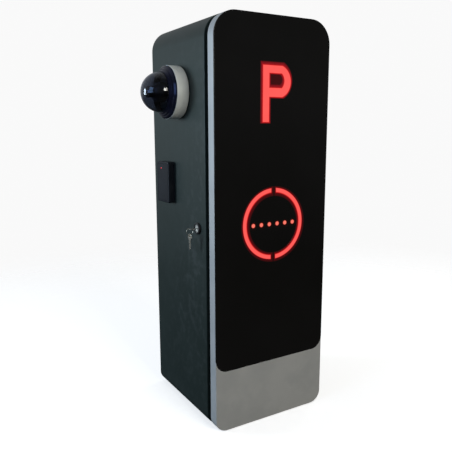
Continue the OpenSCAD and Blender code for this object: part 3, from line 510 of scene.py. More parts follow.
screws = bmesh.new()
outward_y = Matrix(((1, 0, 0, 0), (0, 0, 1, 0), (0, 1, 0, 0), (0, 0, 0, 1)))
screw_x, seat_y = screw_high.x - 0.004, panel_high.y
for x in (-screw_x, screw_x):
    for z in (screw_low.z + 0.004, cabinet_top / 2, screw_high.z - 0.004):
        button_head(screws, Matrix.Translation((x, seat_y, z)) @ outward_y)
piece("rear_cover_screws", made_from(screws), zinc, "cabinet", "zinc_steel", "rear_screws")

# ---------------------------------------------------------------- base plate, grommet and earth stud
# A zinc plated doubling plate lies on the cabinet's floor and spreads the load of four anchors. A
# moulded rubber grommet lines the cable entry, and a brass stud takes the earth wire.


def dress(node, material, bevel=0.0002):
    """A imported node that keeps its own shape: its material, and a fine bevel along its edges."""
    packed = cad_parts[node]
    packed.data.materials.clear()
    packed.data.materials.append(material)
    packed.modifiers.new("weld", "WELD").merge_threshold = 0.000002
    edges = packed.modifiers.new("edges", "BEVEL")
    edges.width, edges.segments, edges.limit_method = bevel, 2, "ANGLE"
    edges.angle_limit, edges.harden_normals = math.radians(40), True


rubber = coat("black_rubber", [
    grained((0.012, 0.012, 0.013), (0.022, 0.022, 0.023), 40.0, 0.68, 0.15, 3000.0, 0.00002),
    dusted(0.35, 0.03),
], Specular_IOR_Level=0.35)
brass = coat("turned_brass", [
    grained((0.56, 0.40, 0.16), (0.66, 0.50, 0.24), 200.0, 0.30, 0.2, 2600.0, 0.00001),
], Metallic=1.0)
dress("base_plate", zinc, 0.0005)
dress("earth_stud", brass)
lip, bore, throat = grommet_high.x, 0.030, entry_radius - fit
sleeve_top, floor_top = grommet_high.z, plate_high.z
ring_section = soften([(bore, 0.0), (throat, 0.0), (throat, floor_top, 0.0), (lip, floor_top, 0.001),
                       (lip - 0.001, sleeve_top, 0.0012), (bore + 0.001, sleeve_top, 0.0012),
                       (bore, floor_top, 0.002)], radius=0.0006)
piece("entry_grommet", turned(ring_section, from_floor(0.0, entry_y)),
      rubber, "cabinet", "black_rubber", "cable_grommet")

# ---------------------------------------------------------------- collar and door seal
# A matt black pressed frame stands out of the cabinet's mouth and makes the shadow gap; its black is darkened
# further as painted shade. A hollow rubber bulb seal is glued around it and meets the back of the door.
collar_low, collar_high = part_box("front_collar")
seal_low, seal_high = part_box("door_seal")
collar_in, collar_sheet = half_width - collar_high.x, 0.003
# A real black frame, but coloured and dulled far below any black coat: painted shade in the deep gap.
gap_black_and_painted_shade = coat("matt_black_and_painted_shade", [
    grained((0.0020, 0.0022, 0.0022), (0.0035, 0.0036, 0.0037), 25.0, 0.72, 0.1, 1500.0, 0.00003),
    dusted(0.04, 0.05),
], Specular_IOR_Level=0.02)
mouth_in = collar_in + collar_sheet
section = soften([(collar_in, collar_low.y, 0.0008), (collar_in, collar_high.y),
                  (mouth_in, collar_high.y), (mouth_in, collar_low.y, 0.0008)])
piece("shadow_gap_frame", folded(section), gap_black_and_painted_shade, "cabinet", "black_paint", "front_collar")
seal_in, seal_wide = half_width - seal_high.x, 0.005
bulb_in, bulb_round = seal_in + seal_wide, 0.0017
section = soften([(seal_in, seal_low.y, bulb_round), (seal_in, seal_high.y, 0.0004),
                  (bulb_in, seal_high.y, 0.0004), (bulb_in, seal_low.y, bulb_round)], steps=5)
piece("bulb_seal", folded(section), rubber, "cabinet", "black_rubber", "door_seal")

# ---------------------------------------------------------------- hinges
# Two three-knuckle steel hinges in black sit in the shadow gap on the right. Their outer wings are
# riveted to the cabinet, their middle ones to the door, and a headed zinc pin runs through each.
hinge_coat = coat("hinge_black", [
    grained((0.008, 0.008, 0.009), (0.016, 0.016, 0.017), 60.0, 0.42, 0.15, 1800.0, 0.00002),
    rubbed((0.20, 0.20, 0.21), 0.6),
])
dress("hinge_body_wings", hinge_coat)
dress("hinge_door_wings", hinge_coat)
dress("hinge_pins", zinc)

# ---------------------------------------------------------------- door tray
# The door is a deep tray pressed from 2 mm steel: its front is stepped down to take the black face,
# its back edge is folded in, and it has windows for the lights. A fine silver metallic lacquer
# covers it, and shows as a thin band around the face and as the plate below it.
face_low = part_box("face_panel")[0]
face_front, tray_front, tray_back = face_low.y, door_low.y, door_high.y
face_thick, tray_sheet, back_fold = 0.003, 0.002, 0.030
face_bottom, face_corner = face_low.z, 0.034
sign_low, sign_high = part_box("sign_lens")
rim = 0.004
letter_left, letter_right = sign_low.x + rim, sign_high.x - rim
letter_foot, letter_top = sign_low.z + rim, sign_high.z - rim
ring_low, ring_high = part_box("ring_lens")
ring_z = (ring_low.z + ring_high.z) / 2
ring_radius, ring_band, ring_gap = ring_high.x - rim, 0.0158, 0.0113
silver = coat("silver_lacquer", [
    grained((0.47, 0.485, 0.49), (0.53, 0.54, 0.54), 14.0, 0.50, 0.06, 1600.0, 0.00002),
    rubbed((0.62, 0.63, 0.64), 0.3),
    dusted(0.12, 0.06),
], Metallic=0.25)


def face_outline(edge=0.0):
    """The black face seen from the front: the cabinet's outline, with a straight lower edge."""
    x, low, high = half_width - edge, face_bottom + edge, cabinet_top - edge
    foot, crown = face_corner - edge, top_radius - edge
    return soften([(x, low, foot), (x, high, crown), (-x, high, crown), (-x, low, foot)], steps=14)


def block(outline_at, levels):
    """A solid between front and back, from (inset, depth) levels."""
    build = bmesh.new()
    solid(build, [upright(outline_at(inset), y) for inset, y in levels])
    return made_from(build)


def straight_block(x, y, z):
    """A plain block between two values each way."""
    corners = [(x[1], z[0]), (x[1], z[1]), (x[0], z[1]), (x[0], z[0])]
    build = bmesh.new()
    solid(build, [upright(corners, depth) for depth in y])
    return made_from(build)


reach = 0.001
seat = face_front + face_thick
tray = block(cabinet_outline, [
    (0.0008, tray_front), (0.00025, tray_front + 0.00025), (0.0, tray_front + 0.0008),
    (0.0, tray_back - 0.0012), (0.0004, tray_back - 0.0003), (0.0012, tray_back)])
past, over, shoulder = half_width + 4 * reach, cabinet_top + 4 * reach, face_bottom + face_corner
right_foot = arc(face_corner + fit, 0.0, -math.pi / 2, 14, half_width - face_corner, shoulder)
left_foot = [Vector((-p.x, p.y)) for p in reversed(right_foot)]
step_line = [Vector(p) for p in ((-past, shoulder), (-past, over), (past, over), (past, shoulder))]
step_line += right_foot + left_foot
step_tool = bmesh.new()
solid(step_tool, [upright(step_line, y) for y in (face_front - reach, seat)])
hollow = block(cabinet_outline, [(tray_sheet, seat + tray_sheet), (tray_sheet, tray_back - tray_sheet)])
mouth = block(cabinet_outline, [(back_fold, tray_back - tray_sheet - reach), (back_fold, tray_back + reach)])
low_hollow = straight_block((-half_width + tray_sheet + 0.004, half_width - tray_sheet - 0.004),
                            (tray_front + tray_sheet, seat + tray_sheet + reach),
                            (tray_sheet + 0.030, face_bottom - 2 * tray_sheet))
slack = rim + 0.0008
letter_window = straight_block((letter_left - slack, letter_right + slack),
                               (seat - reach, seat + tray_sheet + reach),
                               (letter_foot - slack, letter_top + slack))
ring_window = drill(ring_radius + slack, Matrix.Translation((0, seat, ring_z)) @ outward_y, 96,
                    -reach, tray_sheet + reach)
tray = cut_away(tray, made_from(step_tool), hollow, mouth, low_hollow, letter_window, ring_window)
piece("door_tray", tray, silver, "door", "door_silver", "door_frame")

# ---------------------------------------------------------------- black face
# A sheet of 3 mm acrylic, printed black on its back and set flush into the door. The lit shapes are
# cut out of it, and around each cut a painted deep red glow fades over a few millimetres of the face,
# further on one side. The letter's inner island is held by the lens behind it.
stem, bowl_tall, bowl_bulge = 0.0215, 0.078, 0.026
counter_wide, counter_tall, counter_bulge, counter_down = 0.043, 0.0325, 0.008, 0.021
dot_count, dot_pitch, dot_radius = 6, 0.0246, 0.0067
painted_glow_reach = 0.005


def bulged(x, z, wide, tall, bulge, steps=20):
    """The right-hand side of a shape that swells out in one arc, from its foot to its top."""
    radius = (tall * tall / 4 + bulge * bulge) / (2 * bulge)
    half = math.asin(tall / 2 / radius)
    return arc(radius, -half, half, steps, x + wide - radius, z + tall / 2)


def letter(grow):
    """The parking letter's outline, larger by grow on every side."""
    left, foot, top = letter_left - grow, letter_foot - grow, letter_top + grow
    inner = letter_left + stem + grow
    bowl = bulged(left, letter_top - bowl_tall - grow, letter_right - letter_left + 2 * grow,
                  bowl_tall + 2 * grow, bowl_bulge)
    return [Vector((left, foot)), Vector((inner, foot)), Vector((inner, letter_top - bowl_tall - grow)),
            *bowl, Vector((left, top))]


def counter(grow):
    """The letter's inner island, smaller by grow on every side."""
    x = letter_left + stem + grow
    z = letter_top - counter_down - counter_tall + grow
    bowl = bulged(x, z, counter_wide - 2 * grow, counter_tall - 2 * grow, counter_bulge)
    return [Vector((x, z)), *bowl, Vector((x, z + counter_tall - 2 * grow))]


def half_ring(grow, hand, inner_share=1.0, steps=40):
    """One half of the ring sign; hand is -1 for the left half. The inner edge moves by its own share."""
    cut = ring_gap / 2 - grow
    line = []
    for radius, way in ((ring_radius + grow, 1), (ring_radius - ring_band - inner_share * grow, -1)):
        limit = way * math.acos(cut / radius)
        line += [Vector((hand * p.x, ring_z + p.y)) for p in arc(radius, -limit, limit, steps)]
    return line


def dot(grow, i):
    """One of the dots, counted from the left, larger by grow on every side."""
    return round_line(dot_radius + grow, 28, (i - (dot_count - 1) / 2) * dot_pitch, ring_z)


cuts = [letter, lambda grow: half_ring(grow, -1), lambda grow: half_ring(grow, 1)]
cuts += [lambda grow, i=i: dot(grow, i) for i in range(dot_count)]


def fill(build, loops, y, level=0.0):
    """Closes flat loops, the first one outside and the rest as holes in it, at one depth."""
    glow = build.verts.layers.float.get("glow") or build.verts.layers.float.new("glow")
    flat = [[Vector((p[0], p[1], 0.0)) for p in loop] for loop in loops]
    points = [build.verts.new((p[0], y, p[1])) for loop in loops for p in loop]
    for point in points:
        point[glow] = level
    for triangle in geometry.tessellate_polygon(flat):
        build.faces.new([points[i] for i in triangle])


def band(build, rows):
    """Strips between loops that follow each other, from (loop, depth, glow) rows."""
    glow = build.verts.layers.float.get("glow") or build.verts.layers.float.new("glow")
    made = loft(build, [upright(loop, y) for loop, y, _ in rows])
    for points, (_, _, level) in zip(made, rows):
        for point in points:
            point[glow] = level


print_edge = 0.00035
face_back = face_front + face_thick
lens_gap = 0.0001
# The painted glow beside a cut: how far out from it, and how strong it still is there
painted_glow_steps = [(0.0006, 0.85), (0.0016, 0.70), (0.0034, 0.55), (0.0042, 0.22), (painted_glow_reach, 0.0)]
letter_lean, ring_lean = Vector((-0.35, 0.60)), Vector((0.25, -0.35))


def halo(shape, grow, lean):
    """A cut's outline as far as its painted glow reaches over the face, which is further on one side."""
    return [Vector((p[0], p[1])) + lean * grow for p in shape(lens_gap + grow)]


def cut_edge(build, shape, lean, strength):
    """The wall of one cut and the painted glow that fades away from it over the face."""
    rows = [(shape(lens_gap), face_back, 0.0), (shape(lens_gap), face_front + print_edge, strength),
            (shape(lens_gap + print_edge), face_front, strength)]
    band(build, rows + [(halo(shape, grow, lean), face_front, strength * level) for grow, level in painted_glow_steps])


face = bmesh.new()
leans = [letter_lean] + (2 + dot_count) * [ring_lean]
# How strong the painted glow on the face is beside the letter, the ring halves and the dots
letter_painted_glow, ring_painted_glow, dot_painted_glow = 1.0, 0.3, 0.02
painted_glow_edges = [halo(shape, painted_glow_reach, lean) for shape, lean in zip(cuts, leans)]
fill(face, [face_outline(print_edge), *painted_glow_edges], face_front)
for shape, lean, strength in zip(cuts, leans, [letter_painted_glow] + 2 * [ring_painted_glow] + dot_count * [dot_painted_glow]):
    cut_edge(face, shape, lean, strength)
edge_rows = [(print_edge, face_front), (0.0001, face_front + 0.0001),
             (0.0, face_front + print_edge), (0.0, face_back)]
band(face, [(face_outline(inset), y, 0.0) for inset, y in edge_rows])
fill(face, [face_outline()] + [shape(lens_gap) for shape in cuts], face_back)
# The island of the letter, whose painted glow never quite fades
island_painted_glow = 0.16
fill(face, [halo(counter, painted_glow_reach, letter_lean)], face_front, island_painted_glow)
rows = [(counter(lens_gap), face_back, 0.5), (counter(lens_gap), face_front + print_edge, 1.0),
        (counter(lens_gap + print_edge), face_front, 1.0)]
rows += [(halo(counter, grow, letter_lean), face_front, max(level, island_painted_glow)) for grow, level in painted_glow_steps]
band(face, rows)
fill(face, [counter(lens_gap)], face_back)

# Glow: the stored level of light at each point, as a colour that climbs from black to its full hue.
# On the lenses it is their lamps' light; on the black face it is a painted glow.
lamp_and_painted_glow, taken, given = new_layer(
    "lamp_and_painted_glow",
    {"Low": ("c", (0.0, 0.0, 0.0, 1.0)), "Middle": ("c", grey), "High": ("c", grey), "Uneven": ("f", 0.1)},
    {"Glow": "c"},
)
level = add(lamp_and_painted_glow, "Attribute", attribute_name="glow", attribute_type="GEOMETRY").outputs["Fac"]
place = add(lamp_and_painted_glow, "TexCoord").outputs["Object"]
cloud = noise(lamp_and_painted_glow, place, 45.0, 1.0)
swing = maths(lamp_and_painted_glow, "MULTIPLY_ADD", maths(lamp_and_painted_glow, "SUBTRACT", cloud, 0.5), taken["Uneven"], 1.0)
level = maths(lamp_and_painted_glow, "MULTIPLY", level, swing)
rising = add(lamp_and_painted_glow, "MapRange", {"Value": level, "From Max": 0.5}).outputs["Result"]
topping = add(lamp_and_painted_glow, "MapRange", {"Value": level, "From Min": 0.5}).outputs["Result"]
low_part = blend_colours(lamp_and_painted_glow, rising, taken["Low"], taken["Middle"])
lamp_and_painted_glow.links.new(blend_colours(lamp_and_painted_glow, topping, low_part, taken["High"]), given["Glow"])

# The black face is no lamp: its emission is a painted glow around the cuts.
gloss_black = coat("black_acrylic", [
    grained((0.0055, 0.0053, 0.0050), (0.0075, 0.0072, 0.0072), 4.0, 0.085, 0.04, 700.0, 0.0000015),
    (lamp_and_painted_glow, {"Middle": (0.13, 0.0008, 0.0040, 1.0), "High": (0.36, 0.005, 0.010, 1.0), "Uneven": 0.3}),
    dusted(0.03, 0.05),
], Specular_IOR_Level=0.30, Emission_Strength=1.0)
piece("black_face", made_from(face), gloss_black, "door", "face_gloss", "face_panel")

# ---------------------------------------------------------------- lit lenses
# Diffusers of opal acrylic fill the cuts flush with the face. Each is milled from one piece with a
# thin flange that rests on the tray behind. Lamps behind them light the letter, the ring and the dots.
flange = 0.0016
tip, soft = 0.0003, 0.0022
letter_red = coat("lit_red_acrylic", [
    grained((0.045, 0.0015, 0.002), (0.060, 0.002, 0.003), 60.0, 0.34, 0.1, 1500.0, 0.00001),
    (lamp_and_painted_glow, {"Low": (0.04, 0.0004, 0.002, 1.0), "Middle": (0.66, 0.012, 0.012, 1.0),
                 "High": (1.0, 0.112, 0.100, 1.0), "Uneven": 0.14}),
], Specular_IOR_Level=0.12, Emission_Strength=1.0)
dot_red = coat("lit_dot_acrylic", [
    grained((0.020, 0.001, 0.001), (0.030, 0.002, 0.002), 60.0, 0.30, 0.1, 1500.0, 0.00001),
    (lamp_and_painted_glow, {"Low": (0.015, 0.0004, 0.0004, 1.0), "Middle": (0.45, 0.03, 0.02, 1.0),
                 "High": (1.0, 0.21, 0.15, 1.0), "Uneven": 0.1}),
], Specular_IOR_Level=0.12, Emission_Strength=1.0)


def lens_block(build, shape, hole=None, rim_glow=0.04):
    """One lit shape: its front, its softly dimmer rim, and its side down to the flange."""
    foot, glow = face_back + 0.0002, 1.0
    levels = [(0.0, foot, 0.0), (0.0, face_front + tip, rim_glow), (-tip, face_front, rim_glow),
              (-soft / 3, face_front, rim_glow), (-soft, face_front, glow)]
    band(build, [(shape(grow), y, level) for grow, y, level in levels])
    loops = [shape(-soft)]
    if hole is not None:
        band(build, [(hole(grow), y, level) for grow, y, level in levels])
        loops.append(hole(-soft))
    fill(build, loops, face_front, glow)
    fill(build, [shape(0.0)] + ([hole(0.0)] if hole else []), foot, 0.3)


def flange_block(build, outside, inside=None):
    """The flange behind a lit shape."""
    for loop in (outside, inside):
        if loop is not None:
            band(build, [(loop, face_back, 0.0), (loop, face_back + flange, 0.0)])
    for y in (face_back, face_back + flange):
        fill(build, [outside] + ([inside] if inside else []), y)


build = bmesh.new()
lens_block(build, letter, counter, rim_glow=0.32)
flange_block(build, letter(rim), counter(rim))
piece("letter_lens", made_from(build), letter_red, "door", "red_light", "sign_lens", sharp=50)
build = bmesh.new()
for hand in (-1, 1):
    lens_block(build, lambda grow: half_ring(grow, hand, inner_share=2.4))
flange_block(build, *(round_line(radius, 96, 0.0, ring_z) for radius in (
    ring_radius + rim, ring_radius - ring_band - rim)))
piece("ring_lens_halves", made_from(build), letter_red, "door", "red_light", "ring_lens", sharp=50)
build = bmesh.new()
for i in range(dot_count):
    lens_block(build, lambda grow: dot(grow, i), rim_glow=0.02)
x, z = (dot_count - 1) * dot_pitch / 2, dot_radius + 0.002
strip = [(-x, ring_z - z), (x, ring_z - z), (x, ring_z + z), (-x, ring_z + z)]
flange_block(build, [Vector(corner) for corner in strip])
piece("dot_lens_strip", made_from(build), dot_red, "door", "red_light", "dot_lens", sharp=50)

# ---------------------------------------------------------------- light boxes and lamp boards
# Black vacuum-formed boxes behind the lenses keep the light in; each holds a white board of surface
# mounted lamps and is screwed to the tray by four ears.
black_plastic = coat("black_plastic", [
    grained((0.010, 0.010, 0.011), (0.016, 0.016, 0.018), 35.0, 0.50, 0.12, 2200.0, 0.00003),
    dusted(0.25, 0.03),
], Specular_IOR_Level=0.4)

# Tracks: thin copper lines under the solder mask, plated pads, and small chips, on a square grid.
tracks, taken, given = new_layer(
    "board_tracks",
    {"Mask": ("c", grey), "Track": ("c", grey), "Pad": ("c", (0.55, 0.55, 0.50, 1.0)), "Pitch": ("f", 220.0)},
    {"Color": "c", "Roughness": "f", "Normal": "v"},
)
place = add(tracks, "TexCoord").outputs["Object"]
split = add(tracks, "SeparateXYZ", {0: place})
across = maths(tracks, "ADD", split.outputs["X"], split.outputs["Y"])
plane = add(tracks, "CombineXYZ", {0: across, 1: split.outputs["Z"]}).outputs[0]
lines = add(tracks, "TexBrick", {"Vector": plane, "Scale": taken["Pitch"], "Mortar Size": 0.035,
                                 "Brick Width": 1.7, "Row Height": 0.55}, offset=0.37)
cells = add(tracks, "VectorMath", {0: plane, 1: taken["Pitch"]}, operation="MULTIPLY").outputs[0]
dots = add(tracks, "TexVoronoi", {"Vector": cells, "Scale": 0.8, "Randomness": 0.35}).outputs["Distance"]
pads = ramp(tracks, dots, 0.13, 0.10)
bare = blend_colours(tracks, lines.outputs["Fac"], taken["Mask"], taken["Track"])
tracks.links.new(blend_colours(tracks, pads, bare, taken["Pad"]), given["Color"])
tracks.links.new(maths(tracks, "MULTIPLY_ADD", pads, -0.1, 0.38), given["Roughness"])
raised = maths(tracks, "ADD", lines.outputs["Fac"], pads)
relief = add(tracks, "Bump", {"Height": raised, "Distance": 0.00004})
tracks.links.new(relief.outputs["Normal"], given["Normal"])
lamp_board = coat("lamp_board", [(tracks, {
    "Mask": (0.66, 0.66, 0.62, 1.0), "Track": (0.72, 0.72, 0.68, 1.0), "Pitch": 120.0})])
circuit = coat("circuit_board", [
    (tracks, {"Mask": (0.010, 0.10, 0.045, 1.0), "Track": (0.02, 0.18, 0.08, 1.0)}),
    dusted(0.2, 0.02),
])
dress("sign_light_box", black_plastic, 0.0003)
dress("ring_light_box", black_plastic, 0.0003)
dress("sign_led_board", lamp_board)
dress("ring_led_board", lamp_board)
dress("box_screws", zinc)

# ---------------------------------------------------------------- dome camera body
# A bought-in dome camera: a turned light grey base on a foam gasket, held by three screws under its
# board, and a stepped black collar that clips into the base and clamps the dome's rim.
base_low, base_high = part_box("camera_base")
cam_y, cam_z = (base_low.y + base_high.y) / 2, (base_low.z + base_high.z) / 2
cam_radius = (base_high.z - base_low.z) / 2
base_out = -half_width - base_low.x
gasket = 0.0015
dome_radius, dome_centre, dome_sheet = 0.0507, 0.050, 0.002
at_camera = from_wall(cam_y, cam_z)
light_shell = coat("camera_light_grey", [
    grained((0.78, 0.82, 0.79), (0.84, 0.87, 0.84), 18.0, 0.33, 0.08, 2400.0, 0.00001), dusted(0.22, 0.02),
], Specular_IOR_Level=0.45)
collar_black = coat("camera_collar_black", [
    grained((0.004, 0.005, 0.010), (0.008, 0.009, 0.022), 30.0, 0.14, 0.10, 1800.0, 0.000008),
    dusted(0.05, 0.02),
], Specular_IOR_Level=0.35, Specular_Tint=(0.55, 0.60, 1.0, 1.0))
wall, floor_thick = 0.003, 0.003
base_section = soften([
    (0.005, gasket), (cam_radius - 0.0004, gasket, 0.0012), (cam_radius, 0.0060, 0.0),
    (cam_radius, base_out, 0.0013), (cam_radius - wall, base_out),
    (cam_radius - wall, gasket + floor_thick), (0.005, gasket + floor_thick)], radius=0.0005)
groove_foot = cam_radius - 0.0005
groove = [(cam_radius, 0.0205), (groove_foot, 0.0209), (groove_foot, 0.0215), (cam_radius, 0.0219)]
spot = next(i for i, p in enumerate(base_section) if p[1] > 0.02)
base_section[spot:spot] = [Vector(p) for p in groove]
piece("camera_base_ring", turned(base_section, at_camera),
      light_shell, "cabinet", "camera_white", "camera_base", sharp=40)
foam = soften([(0.016, 0.0), (cam_radius - 0.0015, 0.0), (cam_radius - 0.0015, gasket), (0.016, gasket)],
              radius=0.0004)
piece("camera_foam_gasket", turned(foam, at_camera),
      rubber, "cabinet", "black_rubber", "camera_gasket")
dress("camera_screws", zinc)
dress("camera_board", circuit)


def on_collar(r, z):
    """A point on the collar's outside, from (0, 0) at the base's edge to (1, 1) at the dome."""
    rise = dome_centre - base_out
    return cam_radius - 0.001 + r * (dome_radius + 0.003 - cam_radius), base_out + z * rise


hold, rim_wide, skirt, clip = 0.00015, 0.0045, 0.006, 0.004
dome_hole, rim_hole, ledge = dome_radius + hold, dome_radius + rim_wide + hold, dome_centre - skirt + hold
collar_section = [
    (cam_radius - wall - hold, base_out - clip), (cam_radius - wall - hold, base_out),
    (*on_collar(0, 0), 0.0001), (*on_collar(0, 0.2), 0.0006), (*on_collar(0.33, 0.44), 0.0008),
    (*on_collar(0.44, 0.44), 0.0003), (*on_collar(0.66, 0.72), 0.0008), (*on_collar(0.8, 0.72), 0.0003),
    (*on_collar(1, 1), 0.0005), (dome_hole, dome_centre, 0.0002), (dome_hole, ledge), (rim_hole, ledge),
    (rim_hole, base_out - clip),
]
piece("camera_clamp_collar", turned(soften(collar_section, radius=0.0003), at_camera),
      collar_black, "cabinet", "gloss_black", "camera_collar", sharp=40)

# ---------------------------------------------------------------- camera dome
# A blow-moulded bubble of smoked polycarbonate, 2 mm thick, with a short straight skirt and a flat
# rim that the collar clamps. It mirrors the room and shows the eyeball behind it.
inner, rim_foot = dome_radius - dome_sheet, dome_centre - skirt - dome_sheet
outside = [(dome_radius + rim_wide, rim_foot), (dome_radius + rim_wide, dome_centre - skirt),
           (dome_radius, dome_centre - skirt), *arc(dome_radius, 0.0, math.pi / 2, 40, up=dome_centre)]
inside = [*arc(inner, math.pi / 2, 0.0, 40, up=dome_centre), (inner, rim_foot)]
smoked = bpy.data.materials.new("smoked_polycarbonate")
smoked.use_nodes = True
tree = smoked.node_tree
shader = tree.nodes["Principled BSDF"]
shader.inputs["Transmission Weight"].default_value = 1.0
shader.inputs["IOR"].default_value = 1.45
place = add(tree, "TexCoord").outputs["Object"]
haze = noise(tree, place, 14.0, 3.0)
smoke = ramp(tree, haze, 0.3, 0.7)
tinted = blend_colours(tree, smoke, (0.23, 0.26, 0.33, 1.0), (0.28, 0.31, 0.39, 1.0))
tree.links.new(tinted, shader.inputs["Base Color"])
tree.links.new(ramp(tree, haze, 0.2, 0.8, 0.01, 0.045), shader.inputs["Roughness"])
piece("camera_bubble", turned(outside + inside, at_camera),
      smoked, "cabinet", "smoked_dome", "camera_dome", sharp=50)

# ---------------------------------------------------------------- camera eyeball
# Inside the dome a black fork pans on the base's post, and the eyeball nods between its arms: a
# glossy ball with a short barrel, a knurled focus ring and a coated lens.
ball_radius, tube_long, tube_radius = 0.026, 0.036, 0.014
glass_radius = 0.012
dress("camera_pan_fork", black_plastic, 0.0005)
at_eye = from_wall(cam_y, cam_z) @ Matrix.Translation((0, 0, dome_centre))
ball = arc(ball_radius, -math.pi / 2, math.acos(tube_radius / ball_radius), 36)
ball[0] = (0.0, -ball_radius)
knurl, glass_seat = tube_radius - 0.0005, tube_long - 0.006
tube = [(tube_radius, 0.0265), (knurl, 0.0268), (knurl, 0.0282), (tube_radius, 0.0285),
        (tube_radius, tube_long - 0.0006), (tube_radius - 0.0006, tube_long), (0.0125, tube_long),
        (glass_radius, tube_long - 0.0004), (glass_radius, glass_seat), (0.0, glass_seat)]
eye_black = coat("eyeball_black", [
    grained((0.040, 0.040, 0.045), (0.060, 0.058, 0.068), 90.0, 0.24, 0.1, 2600.0, 0.00001),
], Specular_IOR_Level=0.6)
build = bmesh.new()
eye = turned(ball + tube, at_eye, closed=False, steps=72)
build.from_mesh(eye)
for hand in (-1, 1):
    ends = [(0.0, 0.020), (0.003, 0.020), (0.003, 0.0317), (0.0027, 0.032), (0.0, 0.032)]
    pin = turned(ends, at_eye @ Matrix.Rotation(-hand * math.pi / 2, 4, "X"), closed=False, steps=32)
    build.from_mesh(pin)
piece("camera_eyeball", made_from(build), eye_black, "camera_tilt", "gloss_black", "camera_ball")
glass_edge, glass_back, bulge = glass_radius - 0.0002, tube_long - 0.0058, 0.019
front = [(0.0, glass_back), (glass_edge, glass_back)]
for k in range(13):
    r = glass_edge * (1 - k / 12)
    front.append((r, tube_long - 0.019 + math.sqrt(bulge ** 2 - r * r)))
coated = coat("coated_lens_glass", [
    grained((0.004, 0.010, 0.030), (0.020, 0.010, 0.040), 120.0, 0.04, 0.03, 300.0, 0.0),
], Specular_IOR_Level=0.9, Coat_Weight=1.0, Coat_Roughness=0.02, Coat_Tint=(0.5, 0.6, 1.0, 1.0))
piece("camera_glass", turned(front, at_eye, closed=False, steps=64),
      coated, "camera_tilt", "lens_glass", "camera_lens")

# ---------------------------------------------------------------- card reader
# A moulded card reader on the wall: a back plate held by two screws, a deep cover in dark blue-grey
# with a slightly raised field and a groove around it, and a red lamp near its top.
reader_low, reader_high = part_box("reader_cover")
reader_wide, reader_tall = reader_high.y - reader_low.y, reader_high.z - reader_low.z
reader_deep = -half_width - reader_low.x
reader_round, reader_sheet = 0.005, 0.0022
at_reader = from_wall(*middle_of("reader_cover").yz)
reader_skin = coat("reader_blue_grey", [
    grained((0.006, 0.009, 0.015), (0.010, 0.014, 0.021), 22.0, 0.38, 0.10, 2600.0, 0.00002),
    rubbed((0.04, 0.045, 0.05), 0.3),
    dusted(0.06, 0.02),
], Specular_IOR_Level=0.16)


def reader_ring(inset, out):
    """The reader's outline seen from outside, smaller by inset, at one distance from the wall."""
    x, y = reader_tall / 2 - inset, reader_wide / 2 - inset
    turn = max(reader_round - inset, 0.0012)
    corners = [(x, -y, turn), (x, y, turn), (-x, y, turn), (-x, -y, turn)]
    return [at_reader @ Vector((p[0], p[1], out)) for p in soften(corners, steps=8)]


build = bmesh.new()
over, groove_out = 0.0028, reader_deep - 0.0005
cap_steps = [(0.0, 0.0), *arc(over, math.pi, math.pi / 2, 6, over, reader_deep - over)]
cap_steps += [(0.0052, reader_deep), (0.0056, groove_out), (0.0062, groove_out), (0.0066, reader_deep)]
inner_steps = [(reader_sheet, reader_deep - reader_sheet), (reader_sheet, 0.0)]
rows = loft(build, [reader_ring(*step) for step in cap_steps], last_cap=True)
inner_rows = loft(build, [reader_ring(*step) for step in inner_steps], first_cap=True)
for i in range(len(rows[0])):
    j = (i + 1) % len(rows[0])
    build.faces.new((rows[0][i], rows[0][j], inner_rows[-1][j], inner_rows[-1][i]))
led_radius, at_led = 0.0022, from_wall(*middle_of("reader_led").yz)
cover = cut_away(made_from(build), drill(led_radius + 0.0001, at_led, 32, 0.002, 0.03))
piece("reader_front", cover, reader_skin, "cabinet", "reader_plastic", "reader_cover")
led_steps = [(0.0, 0.0072), (0.0028, 0.0072), (0.0028, 0.0057), (led_radius, 0.0057), (led_radius, 0.0008),
             (0.0018, 0.0003), (0.0010, 0.00005), (0.0, 0.0)]
led_profile = [(radius, reader_deep - deep) for radius, deep in led_steps]
lamp = coat("reader_lamp", [
    grained((0.60, 0.02, 0.03), (0.70, 0.05, 0.05), 900.0, 0.18, 0.1, 3000.0, 0.000005),
], Emission_Strength=1.0, Emission_Color=(1.0, 0.03, 0.06, 1.0), Specular_IOR_Level=0.5)
piece("reader_lamp_lens", turned(led_profile, at_led, closed=False, steps=32),
      lamp, "cabinet", "red_light", "reader_led")
dress("reader_back", black_plastic)
dress("reader_board", circuit)
dress("reader_screws", zinc)

# ---------------------------------------------------------------- cam lock
# A nickel plated cam lock: its threaded barrel passes through the wall and is held by a hexagon nut,
# a moulded black collar stands around its face, and the plug inside turns the flat steel cam.
at_lock = from_wall(lock_y, lock_z)
collar_out, collar_edge, face_edge = 0.006, 0.0155, 0.0103
barrel_in, barrel_out, plug_radius = 0.024, 0.0035, 0.007
nickel = coat("polished_nickel", [
    grained((0.60, 0.60, 0.57), (0.70, 0.69, 0.66), 260.0, 0.38, 0.18, 2600.0, 0.000008), dusted(0.12, 0.02),
], Metallic=1.0)
slope = 0.0022
collar_section = [
    (face_edge + fit, 0.0), (collar_edge, 0.0, 0.0), (collar_edge, collar_out - slope, 0.0012),
    (collar_edge - slope, collar_out, 0.0010), (face_edge + 0.0012, collar_out, 0.0006),
    (face_edge + fit, collar_out - 0.0011, 0.0004)]
piece("lock_surround", turned(soften(collar_section), at_lock, steps=64),
      black_plastic, "cabinet", "black_plastic", "lock_collar", sharp=45)
bore = plug_radius + 0.00005
thread, turn_pitch, bevel = [], 0.001, 0.0008
for k in range(18):
    z = -barrel_in + (k + 1) * turn_pitch
    thread += [(barrel_radius - 0.0005, z), (barrel_radius, z + 0.0004)]
